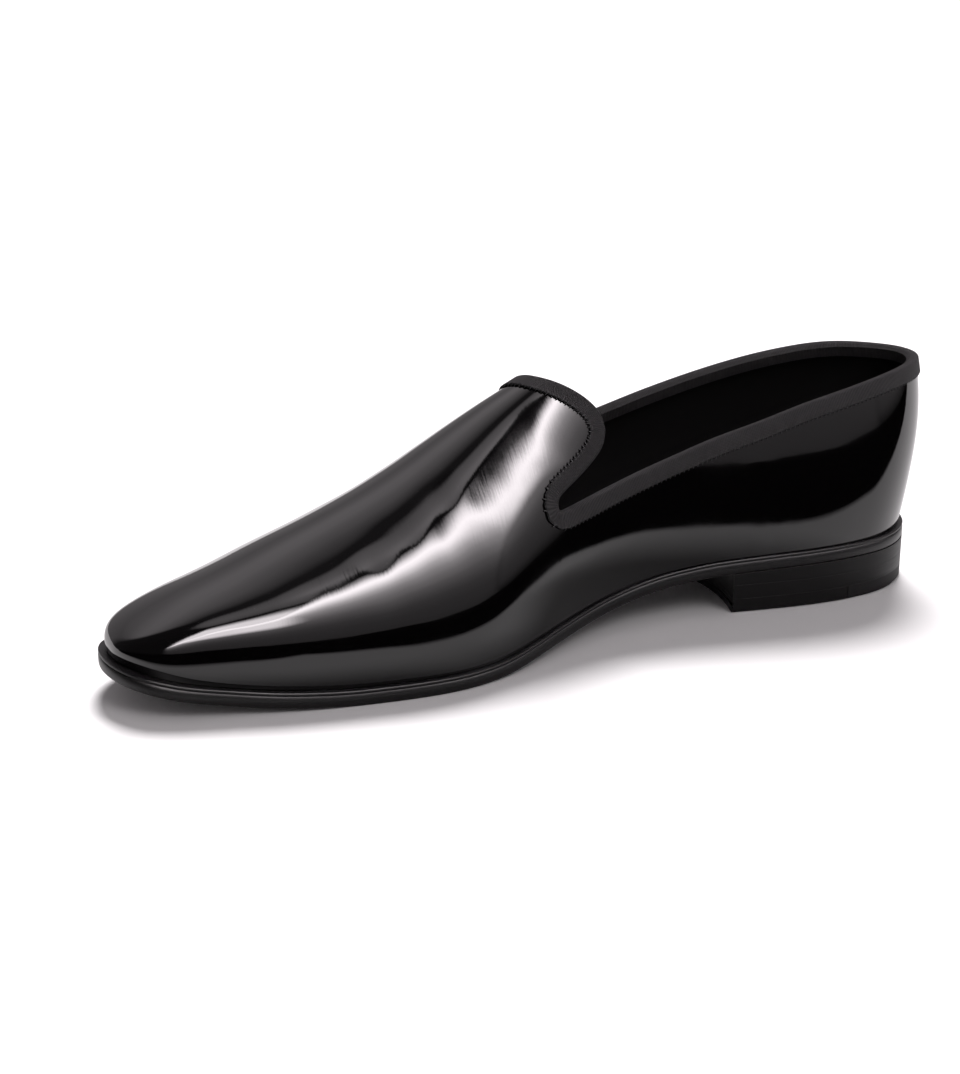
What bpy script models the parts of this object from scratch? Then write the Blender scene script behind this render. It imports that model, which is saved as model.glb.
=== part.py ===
"""Slip-on dress pump for the right foot, standing on its sole.

Metres, +X towards the toe, +Y towards the inner side of the foot, +Z up.
The origin is the bottom centre of the bounding box.
"""
import math

import bmesh
import bpy
import numpy as np

# Driving sizes
SOLE_LENGTH = 0.302
BALL_WIDTH = 0.097
HEEL_HEIGHT = 0.015
SOLE_THICKNESS = 0.005
TOE_SPRING = 0.010
INSTEP_HEIGHT = 0.086
UPPER_WALL = 0.002
FIT_GAP = 0.0003
TOE_ROUND = 0.032
HEEL_ROUND = 0.034
CREST_ROUND = 0.026
TOE_REACH = 0.030
BACK_REACH = 0.080
INSOLE_THICKNESS = 0.0025
INSOLE_TOE_SPACE = 0.004
BINDING_WIDTH = 0.005
BINDING_INSIDE = 0.004
BINDING_THICKNESS = 0.0006
HEEL_LENGTH = 0.086
BREAST_DEPTH = 0.0066
LIFT_COUNT = 3
LIFT_SEAM = 0.0415
NAIL_RADIUS = 0.0009
NAIL_LENGTH = 0.003
NAIL_RECESS = 0.0001

# Sole outline: share of the sole length, then the centre line and
# the half width as shares of the ball width
SOLE_PLAN = (
    ("share", "centre", "half"),
    (0.00, -0.0127, 0.2777),
    (0.06, -0.0167, 0.3215),
    (0.14, -0.0157, 0.3599),
    (0.25, -0.0303, 0.3455),
    (0.38, -0.0396, 0.3094),
    (0.50, -0.0206, 0.3898),
    (0.60, 0.0234, 0.4896),
    (0.68, 0.0700, 0.4898),
    (0.76, 0.1045, 0.4362),
    (0.84, 0.1337, 0.3637),
    (0.92, 0.1544, 0.2836),
    (1.00, 0.1606, 0.2847),
)

# Underside of the sole: how much of the heel height and of the toe
# spring it has at each share of the length
SOLE_RISE = (
    ("share", "heel", "spring"),
    (0.00, 1.04, 0.00),
    (0.10, 1.03, 0.00),
    (0.20, 1.00, 0.00),
    (0.29, 0.93, 0.00),
    (0.36, 0.80, 0.00),
    (0.44, 0.57, 0.00),
    (0.53, 0.27, 0.00),
    (0.62, 0.03, 0.00),
    (0.66, 0.00, 0.00),
    (0.76, 0.00, 0.00),
    (0.84, 0.00, 0.13),
    (0.92, 0.00, 0.45),
    (1.00, 0.00, 1.00),
)

# Ledge of the sole outside the upper, as a share of the sole thickness
SOLE_LEDGE = (
    ("share", "ledge"),
    (0.00, 0.30),
    (0.20, 0.24),
    (0.40, 0.20),
    (0.60, 0.36),
    (0.80, 0.50),
    (1.00, 0.55),
)

# Sections of the last: crest height as a share of the instep height,
# crest offset as a share of the ball width, then three shape points,
# each side a share of the half width and each high a share of the crest
LAST_SECTION = (
    ("share", "crest", "offset", "a_side", "a_high", "b_side", "b_high", "c_side", "c_high"),
    (0.00, 1.180, 0.000, 1.05, 0.16, 1.03, 0.46, 0.50, 0.90),
    (0.12, 1.140, 0.000, 1.05, 0.17, 1.02, 0.46, 0.52, 0.90),
    (0.25, 1.100, 0.000, 1.06, 0.18, 0.98, 0.48, 0.52, 0.92),
    (0.38, 1.000, 0.040, 1.10, 0.20, 0.98, 0.52, 0.50, 0.92),
    (0.50, 0.865, 0.050, 1.06, 0.22, 0.92, 0.56, 0.48, 0.90),
    (0.60, 0.740, 0.035, 1.03, 0.24, 0.92, 0.58, 0.48, 0.89),
    (0.70, 0.572, 0.015, 1.03, 0.27, 0.96, 0.61, 0.50, 0.89),
    (0.80, 0.435, 0.000, 1.04, 0.30, 1.00, 0.66, 0.52, 0.91),
    (0.90, 0.280, 0.000, 1.04, 0.34, 1.02, 0.74, 0.54, 0.94),
    (1.00, 0.125, 0.000, 1.03, 0.38, 1.03, 0.82, 0.55, 0.97),
)

# Curve of the heel back and of the toe front: height over the feather
# line as a share of the instep height, then the shift along the shoe
# as a share of the heel height
BACK_CURVE = (
    ("high", "shift"),
    (0.00, 0.00),
    (0.23, -0.23),
    (0.41, -0.37),
    (0.58, -0.38),
    (0.72, -0.27),
    (0.93, 0.13),
    (1.40, 1.47),
)
TOE_CURVE = (
    ("high", "shift"),
    (0.00, 0.00),
    (0.06, 0.09),
    (0.10, 0.12),
    (0.16, 0.05),
    (0.23, -0.07),
    (0.58, -0.13),
)

# Cut edge of the upper round the foot opening: share of the sole length
# and girth, which runs 0 at the inner feather line, 3 at the crest and
# 6 at the outer feather line
INNER_QUARTER = (
    ("share", "girth"),
    (0.0000, 1.275),
    (0.0200, 1.280),
    (0.0500, 1.285),
    (0.1000, 1.262),
    (0.1500, 1.202),
    (0.2000, 1.125),
    (0.2500, 1.030),
    (0.3160, 0.938),
    (0.3660, 0.880),
    (0.4170, 0.855),
    (0.4690, 0.858),
    (0.4950, 0.875),
    (0.5100, 0.893),
    (0.5175, 0.920),
    (0.5207, 0.955),
    (0.5220, 1.000),
)
TAB_EDGE = (
    ("share", "girth"),
    (0.5220, 1.000),
    (0.5207, 1.050),
    (0.5175, 1.085),
    (0.5100, 1.112),
    (0.4930, 1.145),
    (0.4760, 1.190),
    (0.4620, 1.245),
    (0.4520, 1.320),
    (0.4475, 1.430),
    (0.4495, 1.580),
    (0.4580, 1.790),
    (0.4740, 2.100),
    (0.4900, 2.440),
    (0.5030, 2.800),
    (0.5085, 3.150),
    (0.5080, 3.500),
    (0.5010, 3.850),
    (0.4880, 4.180),
    (0.4740, 4.450),
    (0.4690, 4.600),
    (0.4725, 4.715),
    (0.4850, 4.790),
    (0.5000, 4.835),
    (0.5100, 4.858),
    (0.5175, 4.885),
    (0.5207, 4.920),
    (0.5220, 4.970),
)
OUTER_QUARTER = (
    ("share", "girth"),
    (0.0000, 4.725),
    (0.0200, 4.718),
    (0.0500, 4.705),
    (0.1000, 4.718),
    (0.1500, 4.760),
    (0.2000, 4.825),
    (0.2500, 4.890),
    (0.3160, 4.955),
    (0.3660, 4.990),
    (0.4170, 5.020),
    (0.4690, 5.055),
    (0.4950, 5.070),
    (0.5100, 5.068),
    (0.5175, 5.045),
    (0.5207, 5.012),
    (0.5220, 4.970),
)

# Rows of the tab table where its two rear corners are, the length of
# one step of girth, and the length of the closed nose
INNER_CORNER = 8
OUTER_CORNER = 19
GIRTH_STEP = 0.026
NOSE_LENGTH = 0.004

# Grid counts
FRONT_ROWS = 22
TAB_ROWS = 10
QUARTER_ROWS = 28
QUARTER_COLUMNS = 6
TAB_COLUMNS = 16

# Nails in the front part of the top lift, as shares of the heel length
# and of the half width there
NAILS = (
    ("along", "across"),
    (0.863, 0.80),
    (0.575, 0.78),
    (0.863, -0.76),
    (0.575, -0.78),
)

MATERIALS = {
    "patent_black": ((0.012, 0.011, 0.013), 0.08, 0.0),
    "grosgrain_black": ((0.030, 0.029, 0.032), 0.80, 0.0),
    "sole_leather": ((0.040, 0.036, 0.038), 0.42, 0.0),
    "sole_edge_leather": ((0.016, 0.015, 0.016), 0.35, 0.0),
    "heel_rubber": ((0.035, 0.033, 0.035), 0.60, 0.0),
    "sock_leather": ((0.015, 0.014, 0.015), 0.55, 0.0),
    "nail_brass": ((0.62, 0.38, 0.17), 0.30, 1.0),
}


def column(table, name):
    index = table[0].index(name)
    return np.array([row[index] for row in table[1:]], float)


def smooth_curve(xs, ys):
    """Natural cubic spline through the points."""
    count = len(xs)
    step = np.diff(xs)
    matrix = np.eye(count)
    right = np.zeros(count)
    for i in range(1, count - 1):
        matrix[i, i - 1] = step[i - 1]
        matrix[i, i] = 2.0 * (step[i - 1] + step[i])
        matrix[i, i + 1] = step[i]
        rise = (ys[i + 1] - ys[i]) / step[i] - (ys[i] - ys[i - 1]) / step[i - 1]
        right[i] = 6.0 * rise
    bend = np.linalg.solve(matrix, right)

    def at(x):
        x = np.asarray(x, float)
        i = np.clip(np.searchsorted(xs, x) - 1, 0, count - 2)
        a = (xs[i + 1] - x) / step[i]
        b = (x - xs[i]) / step[i]
        curve = (a ** 3 - a) * bend[i] + (b ** 3 - b) * bend[i + 1]
        return a * ys[i] + b * ys[i + 1] + curve * step[i] ** 2 / 6.0

    return at


def level_curve(xs, ys):
    """Cubic through the points that never swings past them."""
    step = np.diff(xs)
    slope = np.diff(ys) / step
    tangent = np.zeros(len(xs))
    for i in range(1, len(xs) - 1):
        if slope[i - 1] * slope[i] > 0.0:
            wa = 2.0 * step[i] + step[i - 1]
            wb = step[i] + 2.0 * step[i - 1]
            tangent[i] = (wa + wb) / (wa / slope[i - 1] + wb / slope[i])
    tangent[0] = slope[0]
    tangent[-1] = slope[-1]

    def at(x):
        x = np.asarray(x, float)
        i = np.clip(np.searchsorted(xs, x) - 1, 0, len(xs) - 2)
        t = (x - xs[i]) / step[i]
        value = (2.0 * t ** 3 - 3.0 * t ** 2 + 1.0) * ys[i]
        value = value + (t ** 3 - 2.0 * t ** 2 + t) * step[i] * tangent[i]
        value = value + (3.0 * t ** 2 - 2.0 * t ** 3) * ys[i + 1]
        return value + (t ** 3 - t ** 2) * step[i] * tangent[i + 1]

    return at


def table_curve(table, name, key="share", make=smooth_curve):
    return make(column(table, key), column(table, name))


plan_centre = table_curve(SOLE_PLAN, "centre")
plan_half = table_curve(SOLE_PLAN, "half")
rise_heel = table_curve(SOLE_RISE, "heel", make=level_curve)
rise_toe = table_curve(SOLE_RISE, "spring", make=level_curve)
ledge_share = table_curve(SOLE_LEDGE, "ledge")
section = {name: table_curve(LAST_SECTION, name) for name in LAST_SECTION[0][1:]}
back_shift = table_curve(BACK_CURVE, "shift", key="high")
toe_shift = table_curve(TOE_CURVE, "shift", key="high")


def rounding(distance, reach):
    """Full size away from an end, closing to a round nose at it."""
    q = np.clip(1.0 - distance / reach, 0.0, 1.0)
    return np.sqrt(np.clip(1.0 - q ** 2.6, 0.0, 1.0))


def centre(x):
    return plan_centre(x / SOLE_LENGTH) * BALL_WIDTH


def ledge(x):
    return ledge_share(x / SOLE_LENGTH) * SOLE_THICKNESS


def half_width(x, margin, heel_margin, toe_margin):
    """Half width of the sole outline, drawn in by the margins."""
    width = plan_half(x / SOLE_LENGTH) * BALL_WIDTH - margin
    toe = SOLE_LENGTH - toe_margin - x
    heel = x - heel_margin
    return width * rounding(toe, TOE_ROUND) * rounding(heel, HEEL_ROUND)


def underside(x):
    share = x / SOLE_LENGTH
    return rise_heel(share) * HEEL_HEIGHT + rise_toe(share) * TOE_SPRING


def blend_weights(t):
    """Weights of nine control points of a clamped cubic, t from 0 to 6."""
    knots = np.array([0, 0, 0, 0, 1, 2, 3, 4, 5, 6, 6, 6, 6], float)
    t = np.clip(np.asarray(t, float), 0.0, 6.0 - 1e-9)
    weights = [np.where((t >= knots[i]) & (t < knots[i + 1]), 1.0, 0.0) for i in range(12)]
    for degree in (1, 2, 3):
        raised = []
        for i in range(12 - degree):
            value = np.zeros_like(t)
            low = knots[i + degree] - knots[i]
            high = knots[i + degree + 1] - knots[i + 1]
            if low > 0.0:
                value = value + (t - knots[i]) / low * weights[i]
            if high > 0.0:
                value = value + (knots[i + degree + 1] - t) / high * weights[i + 1]
            raised.append(value)
        weights = raised
    return weights


UPPER_BACK = float(ledge(0.0))
UPPER_TOE = SOLE_LENGTH - float(ledge(SOLE_LENGTH))


def last_point(x, girth):
    """Point on the outside of the upper, at x along the shoe."""
    x = np.asarray(x, float)
    girth = np.asarray(girth, float)
    share = x / SOLE_LENGTH
    half = half_width(x, ledge(x), UPPER_BACK, SOLE_LENGTH - UPPER_TOE)
    to_toe = UPPER_TOE - x
    crest = section["crest"](share) * INSTEP_HEIGHT * rounding(to_toe, CREST_ROUND)
    offset = section["offset"](share) * BALL_WIDTH
    sides = [half, half * section["a_side"](share), half * section["b_side"](share)]
    shoulder = half * section["c_side"](share)
    across = sides + [shoulder + offset, offset, offset - shoulder]
    across = across + [-side for side in reversed(sides)]
    rises = [0.0 * crest, crest * section["a_high"](share), crest * section["b_high"](share)]
    shoulder_high = crest * section["c_high"](share)
    top = (6.0 * crest - 2.0 * shoulder_high) / 4.0
    upward = rises + [shoulder_high, top, shoulder_high] + list(reversed(rises))
    weights = blend_weights(girth)
    y = sum(w * v for w, v in zip(weights, across)) + centre(x)
    z = sum(w * v for w, v in zip(weights, upward))
    high = np.clip(z / INSTEP_HEIGHT, 0.0, 1.4)
    near_back = np.clip(1.0 - x / BACK_REACH, 0.0, 1.0)
    near_toe = np.clip(1.0 - to_toe / TOE_REACH, 0.0, 1.0)
    shift = back_shift(high) * near_back ** 2 * (3.0 - 2.0 * near_back)
    shift = shift + toe_shift(np.minimum(high, 0.58)) * near_toe ** 2 * (3.0 - 2.0 * near_toe)
    base = underside(x) + SOLE_THICKNESS + FIT_GAP
    return np.stack([x + shift * HEEL_HEIGHT, y, z + base], axis=-1)


def last_frame(x, girth):
    """Point, the two surface directions and the outward normal."""
    step = 1e-5
    here = last_point(x, girth)
    along = (last_point(x + step, girth) - here) / step
    low = np.maximum(girth - step, 0.0)
    high = np.minimum(girth + step, 6.0)
    around = (last_point(x, high) - last_point(x, low)) / (2.0 * step)
    normal = np.cross(around, along)
    return here, along, around, normal / np.linalg.norm(normal, axis=-1, keepdims=True)


def rim_run(table, count, pace, start=None, end=None):
    """Points along a table of share and girth, spaced by real length."""
    share = column(table, "share")[start:end]
    girth = column(table, "girth")[start:end]
    rough = np.hypot(np.diff(share) * SOLE_LENGTH, np.diff(girth) * GIRTH_STEP)
    run = np.concatenate([[0.0], np.cumsum(rough)])
    fine = np.linspace(0.0, run[-1], 800)
    xs = np.maximum(smooth_curve(run, share)(fine) * SOLE_LENGTH, UPPER_BACK)
    girths = smooth_curve(run, girth)(fine)
    place = last_point(xs, girths)
    length = np.concatenate([[0.0], np.cumsum(np.linalg.norm(np.diff(place, axis=0), axis=1))])
    wanted = pace(np.linspace(0.0, 1.0, count + 1)) * length[-1]
    return np.stack([np.interp(wanted, length, xs), np.interp(wanted, length, girths)], axis=-1)


def even(u):
    return u


def close_at_ends(u):
    return u - 0.7 * np.sin(2.0 * math.pi * u) / (2.0 * math.pi)


def close_at_start(u):
    return u ** 1.4


def close_at_finish(u):
    return 1.0 - (1.0 - u) ** 1.4


def rim_runs():
    """The cut edge in five runs, from the inner notch back and round."""
    return {
        "inner_quarter": rim_run(INNER_QUARTER, QUARTER_ROWS, close_at_ends)[::-1],
        "tab_inner": rim_run(TAB_EDGE, TAB_ROWS, close_at_start, None, INNER_CORNER + 1),
        "tab_rear": rim_run(TAB_EDGE, TAB_COLUMNS, even, INNER_CORNER, OUTER_CORNER + 1),
        "tab_outer": rim_run(TAB_EDGE, TAB_ROWS, close_at_finish, OUTER_CORNER, None),
        "outer_quarter": rim_run(OUTER_QUARTER, QUARTER_ROWS, close_at_ends)[::-1],
    }


def tab_patch(runs):
    """Grid of share and girth over the tab, from the notch row back."""
    inner = runs["tab_inner"]
    rear = runs["tab_rear"]
    outer = runs["tab_outer"][::-1]
    notch = inner[0, 0]
    u = np.linspace(0.0, 1.0, TAB_ROWS + 1)[:, None]
    v = np.linspace(0.0, 1.0, TAB_COLUMNS + 1)[None, :]
    by_inner = (1.0 - v) ** 4
    by_outer = v ** 4
    inner_way = ((notch - inner[:, 0]) / (notch - inner[-1, 0]))[:, None]
    outer_way = ((notch - outer[:, 0]) / (notch - outer[-1, 0]))[:, None]
    way = inner_way * by_inner + outer_way * by_outer + u * (1.0 - by_inner - by_outer)
    front = (1.0 - v) * inner[0, 1] + v * outer[0, 1]
    sides = (1.0 - v) * inner[:, 1:2] + v * outer[:, 1:2]
    ends = (1.0 - u) * front + u * rear[:, 1][None, :]
    corners = (1.0 - u) * front + u * ((1.0 - v) * rear[0, 1] + v * rear[-1, 1])
    grid = np.zeros((TAB_ROWS + 1, TAB_COLUMNS + 1, 2))
    grid[:, :, 0] = notch + (rear[:, 0][None, :] - notch) * way
    grid[:, :, 1] = sides + ends - corners
    return grid


def upper_blocks(runs):
    """Grids of share and girth that cover the upper with no overlap."""
    tab = tab_patch(runs)
    inner_rim = runs["inner_quarter"]
    outer_rim = runs["outer_quarter"]
    notch = tab[0, 0, 0]
    down = np.linspace(0.0, 1.0, QUARTER_COLUMNS + 1)
    inner_girth = tab[0, 0, 1] * down
    outer_girth = 6.0 - (6.0 - tab[0, -1, 1]) * down[::-1]
    girths = np.concatenate([inner_girth[:-1], tab[0, :, 1], outer_girth[1:]])
    u = np.linspace(0.0, 1.0, FRONT_ROWS + 1)
    rows = notch + (UPPER_TOE - notch) * np.sin(0.5 * math.pi * u)
    front = np.zeros((FRONT_ROWS + 1, len(girths), 2))
    front[:, :, 0] = rows[:, None]
    front[:, :, 1] = girths[None, :]
    inner = np.zeros((QUARTER_ROWS + 1, QUARTER_COLUMNS + 1, 2))
    inner[:, :, 0] = inner_rim[:, 0:1]
    inner[:, :, 1] = inner_rim[:, 1:2] * down[None, :]
    outer = np.zeros((QUARTER_ROWS + 1, QUARTER_COLUMNS + 1, 2))
    outer[:, :, 0] = outer_rim[:, 0:1]
    outer[:, :, 1] = 6.0 - (6.0 - outer_rim[:, 1:2]) * down[::-1][None, :]
    return [(front, True), (tab, False), (inner, False), (outer, False)]


def new_material(name):
    colour, roughness, metal = MATERIALS[name]
    material = bpy.data.materials.new(name)
    material.use_nodes = True
    shader = material.node_tree.nodes["Principled BSDF"]
    shader.inputs["Base Color"].default_value = (*colour, 1.0)
    shader.inputs["Roughness"].default_value = roughness
    shader.inputs["Metallic"].default_value = metal
    return material


def new_object(name, points, faces, material, sharp=40.0):
    """One closed body from points and faces, with repeats joined."""
    mesh = bpy.data.meshes.new(name)
    mesh.from_pydata([tuple(map(float, p)) for p in points], [], faces)
    shape = bmesh.new()
    shape.from_mesh(mesh)
    bmesh.ops.remove_doubles(shape, verts=shape.verts, dist=2e-6)
    bmesh.ops.dissolve_degenerate(shape, edges=shape.edges, dist=1e-7)
    bmesh.ops.recalc_face_normals(shape, faces=shape.faces)
    shape.to_mesh(mesh)
    shape.free()
    for polygon in mesh.polygons:
        polygon.use_smooth = True
    mesh.set_sharp_from_angle(angle=math.radians(sharp))
    mesh.materials.append(material)
    made = bpy.data.objects.new(name, mesh)
    bpy.context.scene.collection.objects.link(made)
    return made


def weld(points):
    """Shared numbering for points that fall on each other."""
    first = []
    order = []
    for i, point in enumerate(points):
        if first:
            apart = np.abs(points[first] - point).max(axis=1)
            nearest = int(np.argmin(apart))
            if apart[nearest] < 2e-6:
                order.append(nearest)
                continue
        order.append(len(first))
        first.append(i)
    return first, order


def build_upper(runs, material):
    """One hollow skin: the outside of the last and the same drawn in."""
    points = []
    exact = []
    high = []
    faces = []
    for grid, turned in upper_blocks(runs):
        start = len(high)
        rows, columns = grid.shape[:2]
        xs = grid[:, :, 0].ravel()
        girths = grid[:, :, 1].ravel()
        place = last_point(xs, girths)
        points.append(place)
        well_in = np.minimum(xs, UPPER_TOE - NOSE_LENGTH)
        exact.append(np.where((xs < well_in + 1e-9)[:, None], last_frame(well_in, girths)[3], 0.0))
        high.extend(place[:, 2] - underside(xs) - SOLE_THICKNESS - FIT_GAP)
        for i in range(rows - 1):
            for j in range(columns - 1):
                a = start + i * columns + j
                quad = [a, a + columns, a + columns + 1, a + 1]
                faces.append(quad[::-1] if turned else quad)
    points = np.concatenate(points)
    first, order = weld(points)
    kept = points[first]
    outside = []
    for face in faces:
        ring = []
        for i in face:
            if order[i] not in ring:
                ring.append(order[i])
        if len(ring) > 2:
            outside.append(ring)
    normals = np.zeros_like(kept)
    for ring in outside:
        corner = kept[ring]
        push = np.cross(corner[1] - corner[0], corner[2] - corner[0])
        if len(ring) == 4:
            push = push + np.cross(corner[2] - corner[0], corner[3] - corner[0])
        for i in ring:
            normals[i] += push
    normals = normals / np.linalg.norm(normals, axis=1)[:, None]
    exact = np.concatenate(exact)[first]
    known = np.linalg.norm(exact, axis=1) > 0.5
    normals[known] = exact[known]
    normals[:, 2] *= np.clip(np.array(high)[first] / (2.0 * UPPER_WALL), 0.0, 1.0)
    normals = normals / np.linalg.norm(normals, axis=1)[:, None]
    count = len(kept)
    inside = kept - normals * UPPER_WALL
    solid = [list(ring) for ring in outside]
    solid.extend([i + count for i in reversed(ring)] for ring in outside)
    used = {}
    for ring in outside:
        for a, b in zip(ring, ring[1:] + ring[:1]):
            used[(a, b)] = used.get((a, b), 0) + 1
    for a, b in used:
        if (b, a) not in used:
            solid.append([b, a, a + count, b + count])
    return new_object("upper", np.concatenate([kept, inside]), solid, material)


def walk(x, girth, heading, length):
    """Point reached by going a length over the last from a point."""
    steps = 4
    for _ in range(steps):
        here, along, around, normal = last_frame(x, girth)
        heading = heading - normal * np.dot(heading, normal)
        heading = heading / np.linalg.norm(heading)
        basis = np.stack([along, around], axis=-1)
        move = np.linalg.lstsq(basis, heading * length / steps, rcond=None)[0]
        x = min(max(x + move[0], UPPER_BACK), UPPER_TOE)
        girth = girth + move[1]
    here, along, around, normal = last_frame(x, girth)
    return here, normal


def build_binding(runs, material):
    """Folded tape over the cut edge, a channel run round the opening."""
    tab = [runs["tab_inner"][:-1], runs["tab_rear"][:-1], runs["tab_outer"]]
    rim = np.concatenate([runs["inner_quarter"][:0:-1]] + tab + [runs["outer_quarter"][1:-1]])
    place = last_point(rim[:, 0], rim[:, 1])
    count = len(rim)
    profile = []
    clear = FIT_GAP
    thick = FIT_GAP + BINDING_THICKNESS
    slack = 2.0 * FIT_GAP
    for i in range(count):
        here, along, around, normal = last_frame(rim[i, 0], rim[i, 1])
        tangent = place[(i + 1) % count] - place[i - 1]
        into = np.cross(normal, tangent)
        into = into / np.linalg.norm(into)
        middle, middle_normal = walk(rim[i, 0], rim[i, 1], into, 0.5 * BINDING_WIDTH)
        far, far_normal = walk(rim[i, 0], rim[i, 1], into, BINDING_WIDTH)
        deep, deep_normal = walk(rim[i, 0], rim[i, 1], into, BINDING_INSIDE)
        heart = here - normal * 0.5 * UPPER_WALL
        half = 0.5 * UPPER_WALL + thick
        slope = math.sqrt(0.5)
        profile.append([
            far + far_normal * thick,
            middle + middle_normal * thick,
            here + normal * thick,
            heart + (normal * half - into * thick) * slope,
            heart - into * thick,
            heart - (normal * half + into * thick) * slope,
            here - normal * (UPPER_WALL + thick + slack),
            deep - deep_normal * (UPPER_WALL + thick + slack),
            deep - deep_normal * (UPPER_WALL + clear + slack),
            here - normal * (UPPER_WALL + clear + slack) - into * clear,
            here + normal * clear - into * clear,
            middle + middle_normal * clear,
            far + far_normal * clear,
        ])
    ring = len(profile[0])
    points = [point for row in profile for point in row]
    faces = []
    for i in range(count):
        for j in range(ring):
            a = i * ring + j
            b = i * ring + (j + 1) % ring
            c = ((i + 1) % count) * ring + (j + 1) % ring
            d = ((i + 1) % count) * ring + j
            faces.append([a, b, c, d])
    return new_object("topline_binding", points, faces, material)


def slab(name, levels, rows, start, end, material, breast=0.0, across=4):
    """Solid between the outline's two sides, drawn level by level.

    Each level is a margin and a height rule; the levels run up the edge
    of the solid. The far end stops square, or hollowed by the breast.
    """
    whole = end is None
    points = []
    ring = 2 * len(levels) + 2 * (across - 1)
    for k in range(rows + 1):
        u = k / rows
        row = []
        for margin, height in levels:
            first = margin if start is None else start
            last = SOLE_LENGTH - margin if whole else end
            if whole:
                x = first + (last - first) * 0.5 * (1.0 - math.cos(math.pi * u))
            elif start is None:
                x = first + (last - first) * (1.0 - math.cos(0.5 * math.pi * u))
            else:
                x = first + (last - first) * u
            half = float(half_width(x, margin, margin, margin))
            middle = float(centre(x))
            row.append((x, middle, half, height))
        scoop = breast * u ** 3
        lowest = row[0]
        highest = row[-1]
        loop = []
        for x, middle, half, height in row:
            loop.append((x, middle + half, height(x)))
        for step in range(1, across):
            v = 1.0 - 2.0 * step / across
            x = highest[0] - scoop * (1.0 - v * v)
            loop.append((x, highest[1] + highest[2] * v, highest[3](x)))
        for x, middle, half, height in reversed(row):
            loop.append((x, middle - half, height(x)))
        for step in range(1, across):
            v = -1.0 + 2.0 * step / across
            x = lowest[0] - scoop * (1.0 - v * v)
            loop.append((x, lowest[1] + lowest[2] * v, lowest[3](x)))
        points.extend(loop)
    faces = []
    for k in range(rows):
        for j in range(ring):
            a = k * ring + j
            b = k * ring + (j + 1) % ring
            faces.append([a, b, b + ring, a + ring])
    levels_up = len(levels)
    for k in ((0,) if start is not None else ()) + ((rows,) if not whole else ()):
        base = k * ring
        upper_run = list(range(levels_up - 1, levels_up + across))
        lower_run = [0] + list(range(ring - 1, ring - across, -1)) + [2 * levels_up + across - 2]
        left = [base + lower_run[0]] + [base + i for i in range(1, levels_up - 1)] + [base + upper_run[0]]
        for i in range(across):
            quad = [base + lower_run[i], base + lower_run[i + 1], base + upper_run[i + 1], base + upper_run[i]]
            if i == 0:
                quad = quad[:2] + [quad[2]] + left[::-1][:-1]
            if i == across - 1:
                right = [base + levels_up + across - 1 + n for n in range(1, levels_up - 1)]
                quad = [quad[0], quad[1]] + right[::-1] + [quad[2], quad[3]]
            faces.append(quad)
    return new_object(name, points, faces, material)


def flat(height):
    return lambda x: height


def along_sole(height):
    return lambda x: float(underside(x)) + height


def build_outsole(material):
    top = SOLE_THICKNESS
    levels = [
        (0.0008, along_sole(0.0)),
        (0.0, along_sole(0.0009)),
        (0.0, along_sole(top - 0.0008)),
        (0.0005, along_sole(top)),
    ]
    return slab("outsole", levels, 54, None, None, material)


def build_insole(material):
    base = SOLE_THICKNESS + FIT_GAP
    rows = 40
    points = []
    first = UPPER_BACK + UPPER_WALL + 2.0 * FIT_GAP
    last = UPPER_TOE - UPPER_WALL - INSOLE_TOE_SPACE
    across = (1.0, 0.5, 0.0, -0.5, -1.0)
    for k in range(rows + 1):
        x = first + (last - first) * 0.5 * (1.0 - math.cos(math.pi * k / rows))
        margin = float(ledge(x)) + UPPER_WALL + 2.0 * FIT_GAP
        half = float(half_width(x, margin, first, SOLE_LENGTH - last))
        low = float(underside(x)) + base
        for v in across:
            points.append((x, float(centre(x)) + half * v, low + INSOLE_THICKNESS))
        for v in reversed(across):
            points.append((x, float(centre(x)) + half * v, low))
    ring = 2 * len(across)
    faces = []
    for k in range(rows):
        for j in range(ring):
            a = k * ring + j
            b = k * ring + (j + 1) % ring
            faces.append([a, b, b + ring, a + ring])
    return new_object("insole", points, faces, material)


def build_heel(leather, rubber, brass):
    """Two leather lifts and a top lift in two parts with its nails."""
    step = HEEL_HEIGHT / LIFT_COUNT
    names = ("heel_lift_upper", "heel_lift_lower")
    for index, name in enumerate(names):
        low = HEEL_HEIGHT - (index + 1) * step
        rise = flat(low + step - FIT_GAP)
        shoulder = flat(low + step - FIT_GAP - 0.0004)
        if index == 0:
            rise = along_sole(-FIT_GAP)
            shoulder = along_sole(-FIT_GAP - 0.0004)
        levels = [
            (0.0003, flat(low)),
            (0.0, flat(low + 0.0004)),
            (0.0, shoulder),
            (0.0003, rise),
        ]
        slab(name, levels, 22, None, HEEL_LENGTH, leather, BREAST_DEPTH)
    levels = [
        (0.0006, flat(0.0)),
        (0.0001, flat(0.0006)),
        (0.0, flat(step - FIT_GAP)),
    ]
    slab("top_lift_rubber", levels, 20, None, LIFT_SEAM - FIT_GAP, rubber)
    front = slab("top_lift_leather", levels, 14, LIFT_SEAM, HEEL_LENGTH, leather, BREAST_DEPTH)
    along = column(NAILS, "along") * HEEL_LENGTH
    across = column(NAILS, "across")
    for index in range(len(along)):
        x = float(along[index])
        half = float(half_width(x, 0.0, 0.0, 0.0))
        y = float(centre(x)) + half * float(across[index])
        depth = NAIL_RECESS + NAIL_LENGTH
        hole = new_rod("hole", x, y, -0.001, depth + FIT_GAP, NAIL_RADIUS + FIT_GAP, leather)
        cut_away(front, hole)
        new_rod("heel_nail_%d" % (index + 1), x, y, NAIL_RECESS, depth, NAIL_RADIUS, brass)


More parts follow.
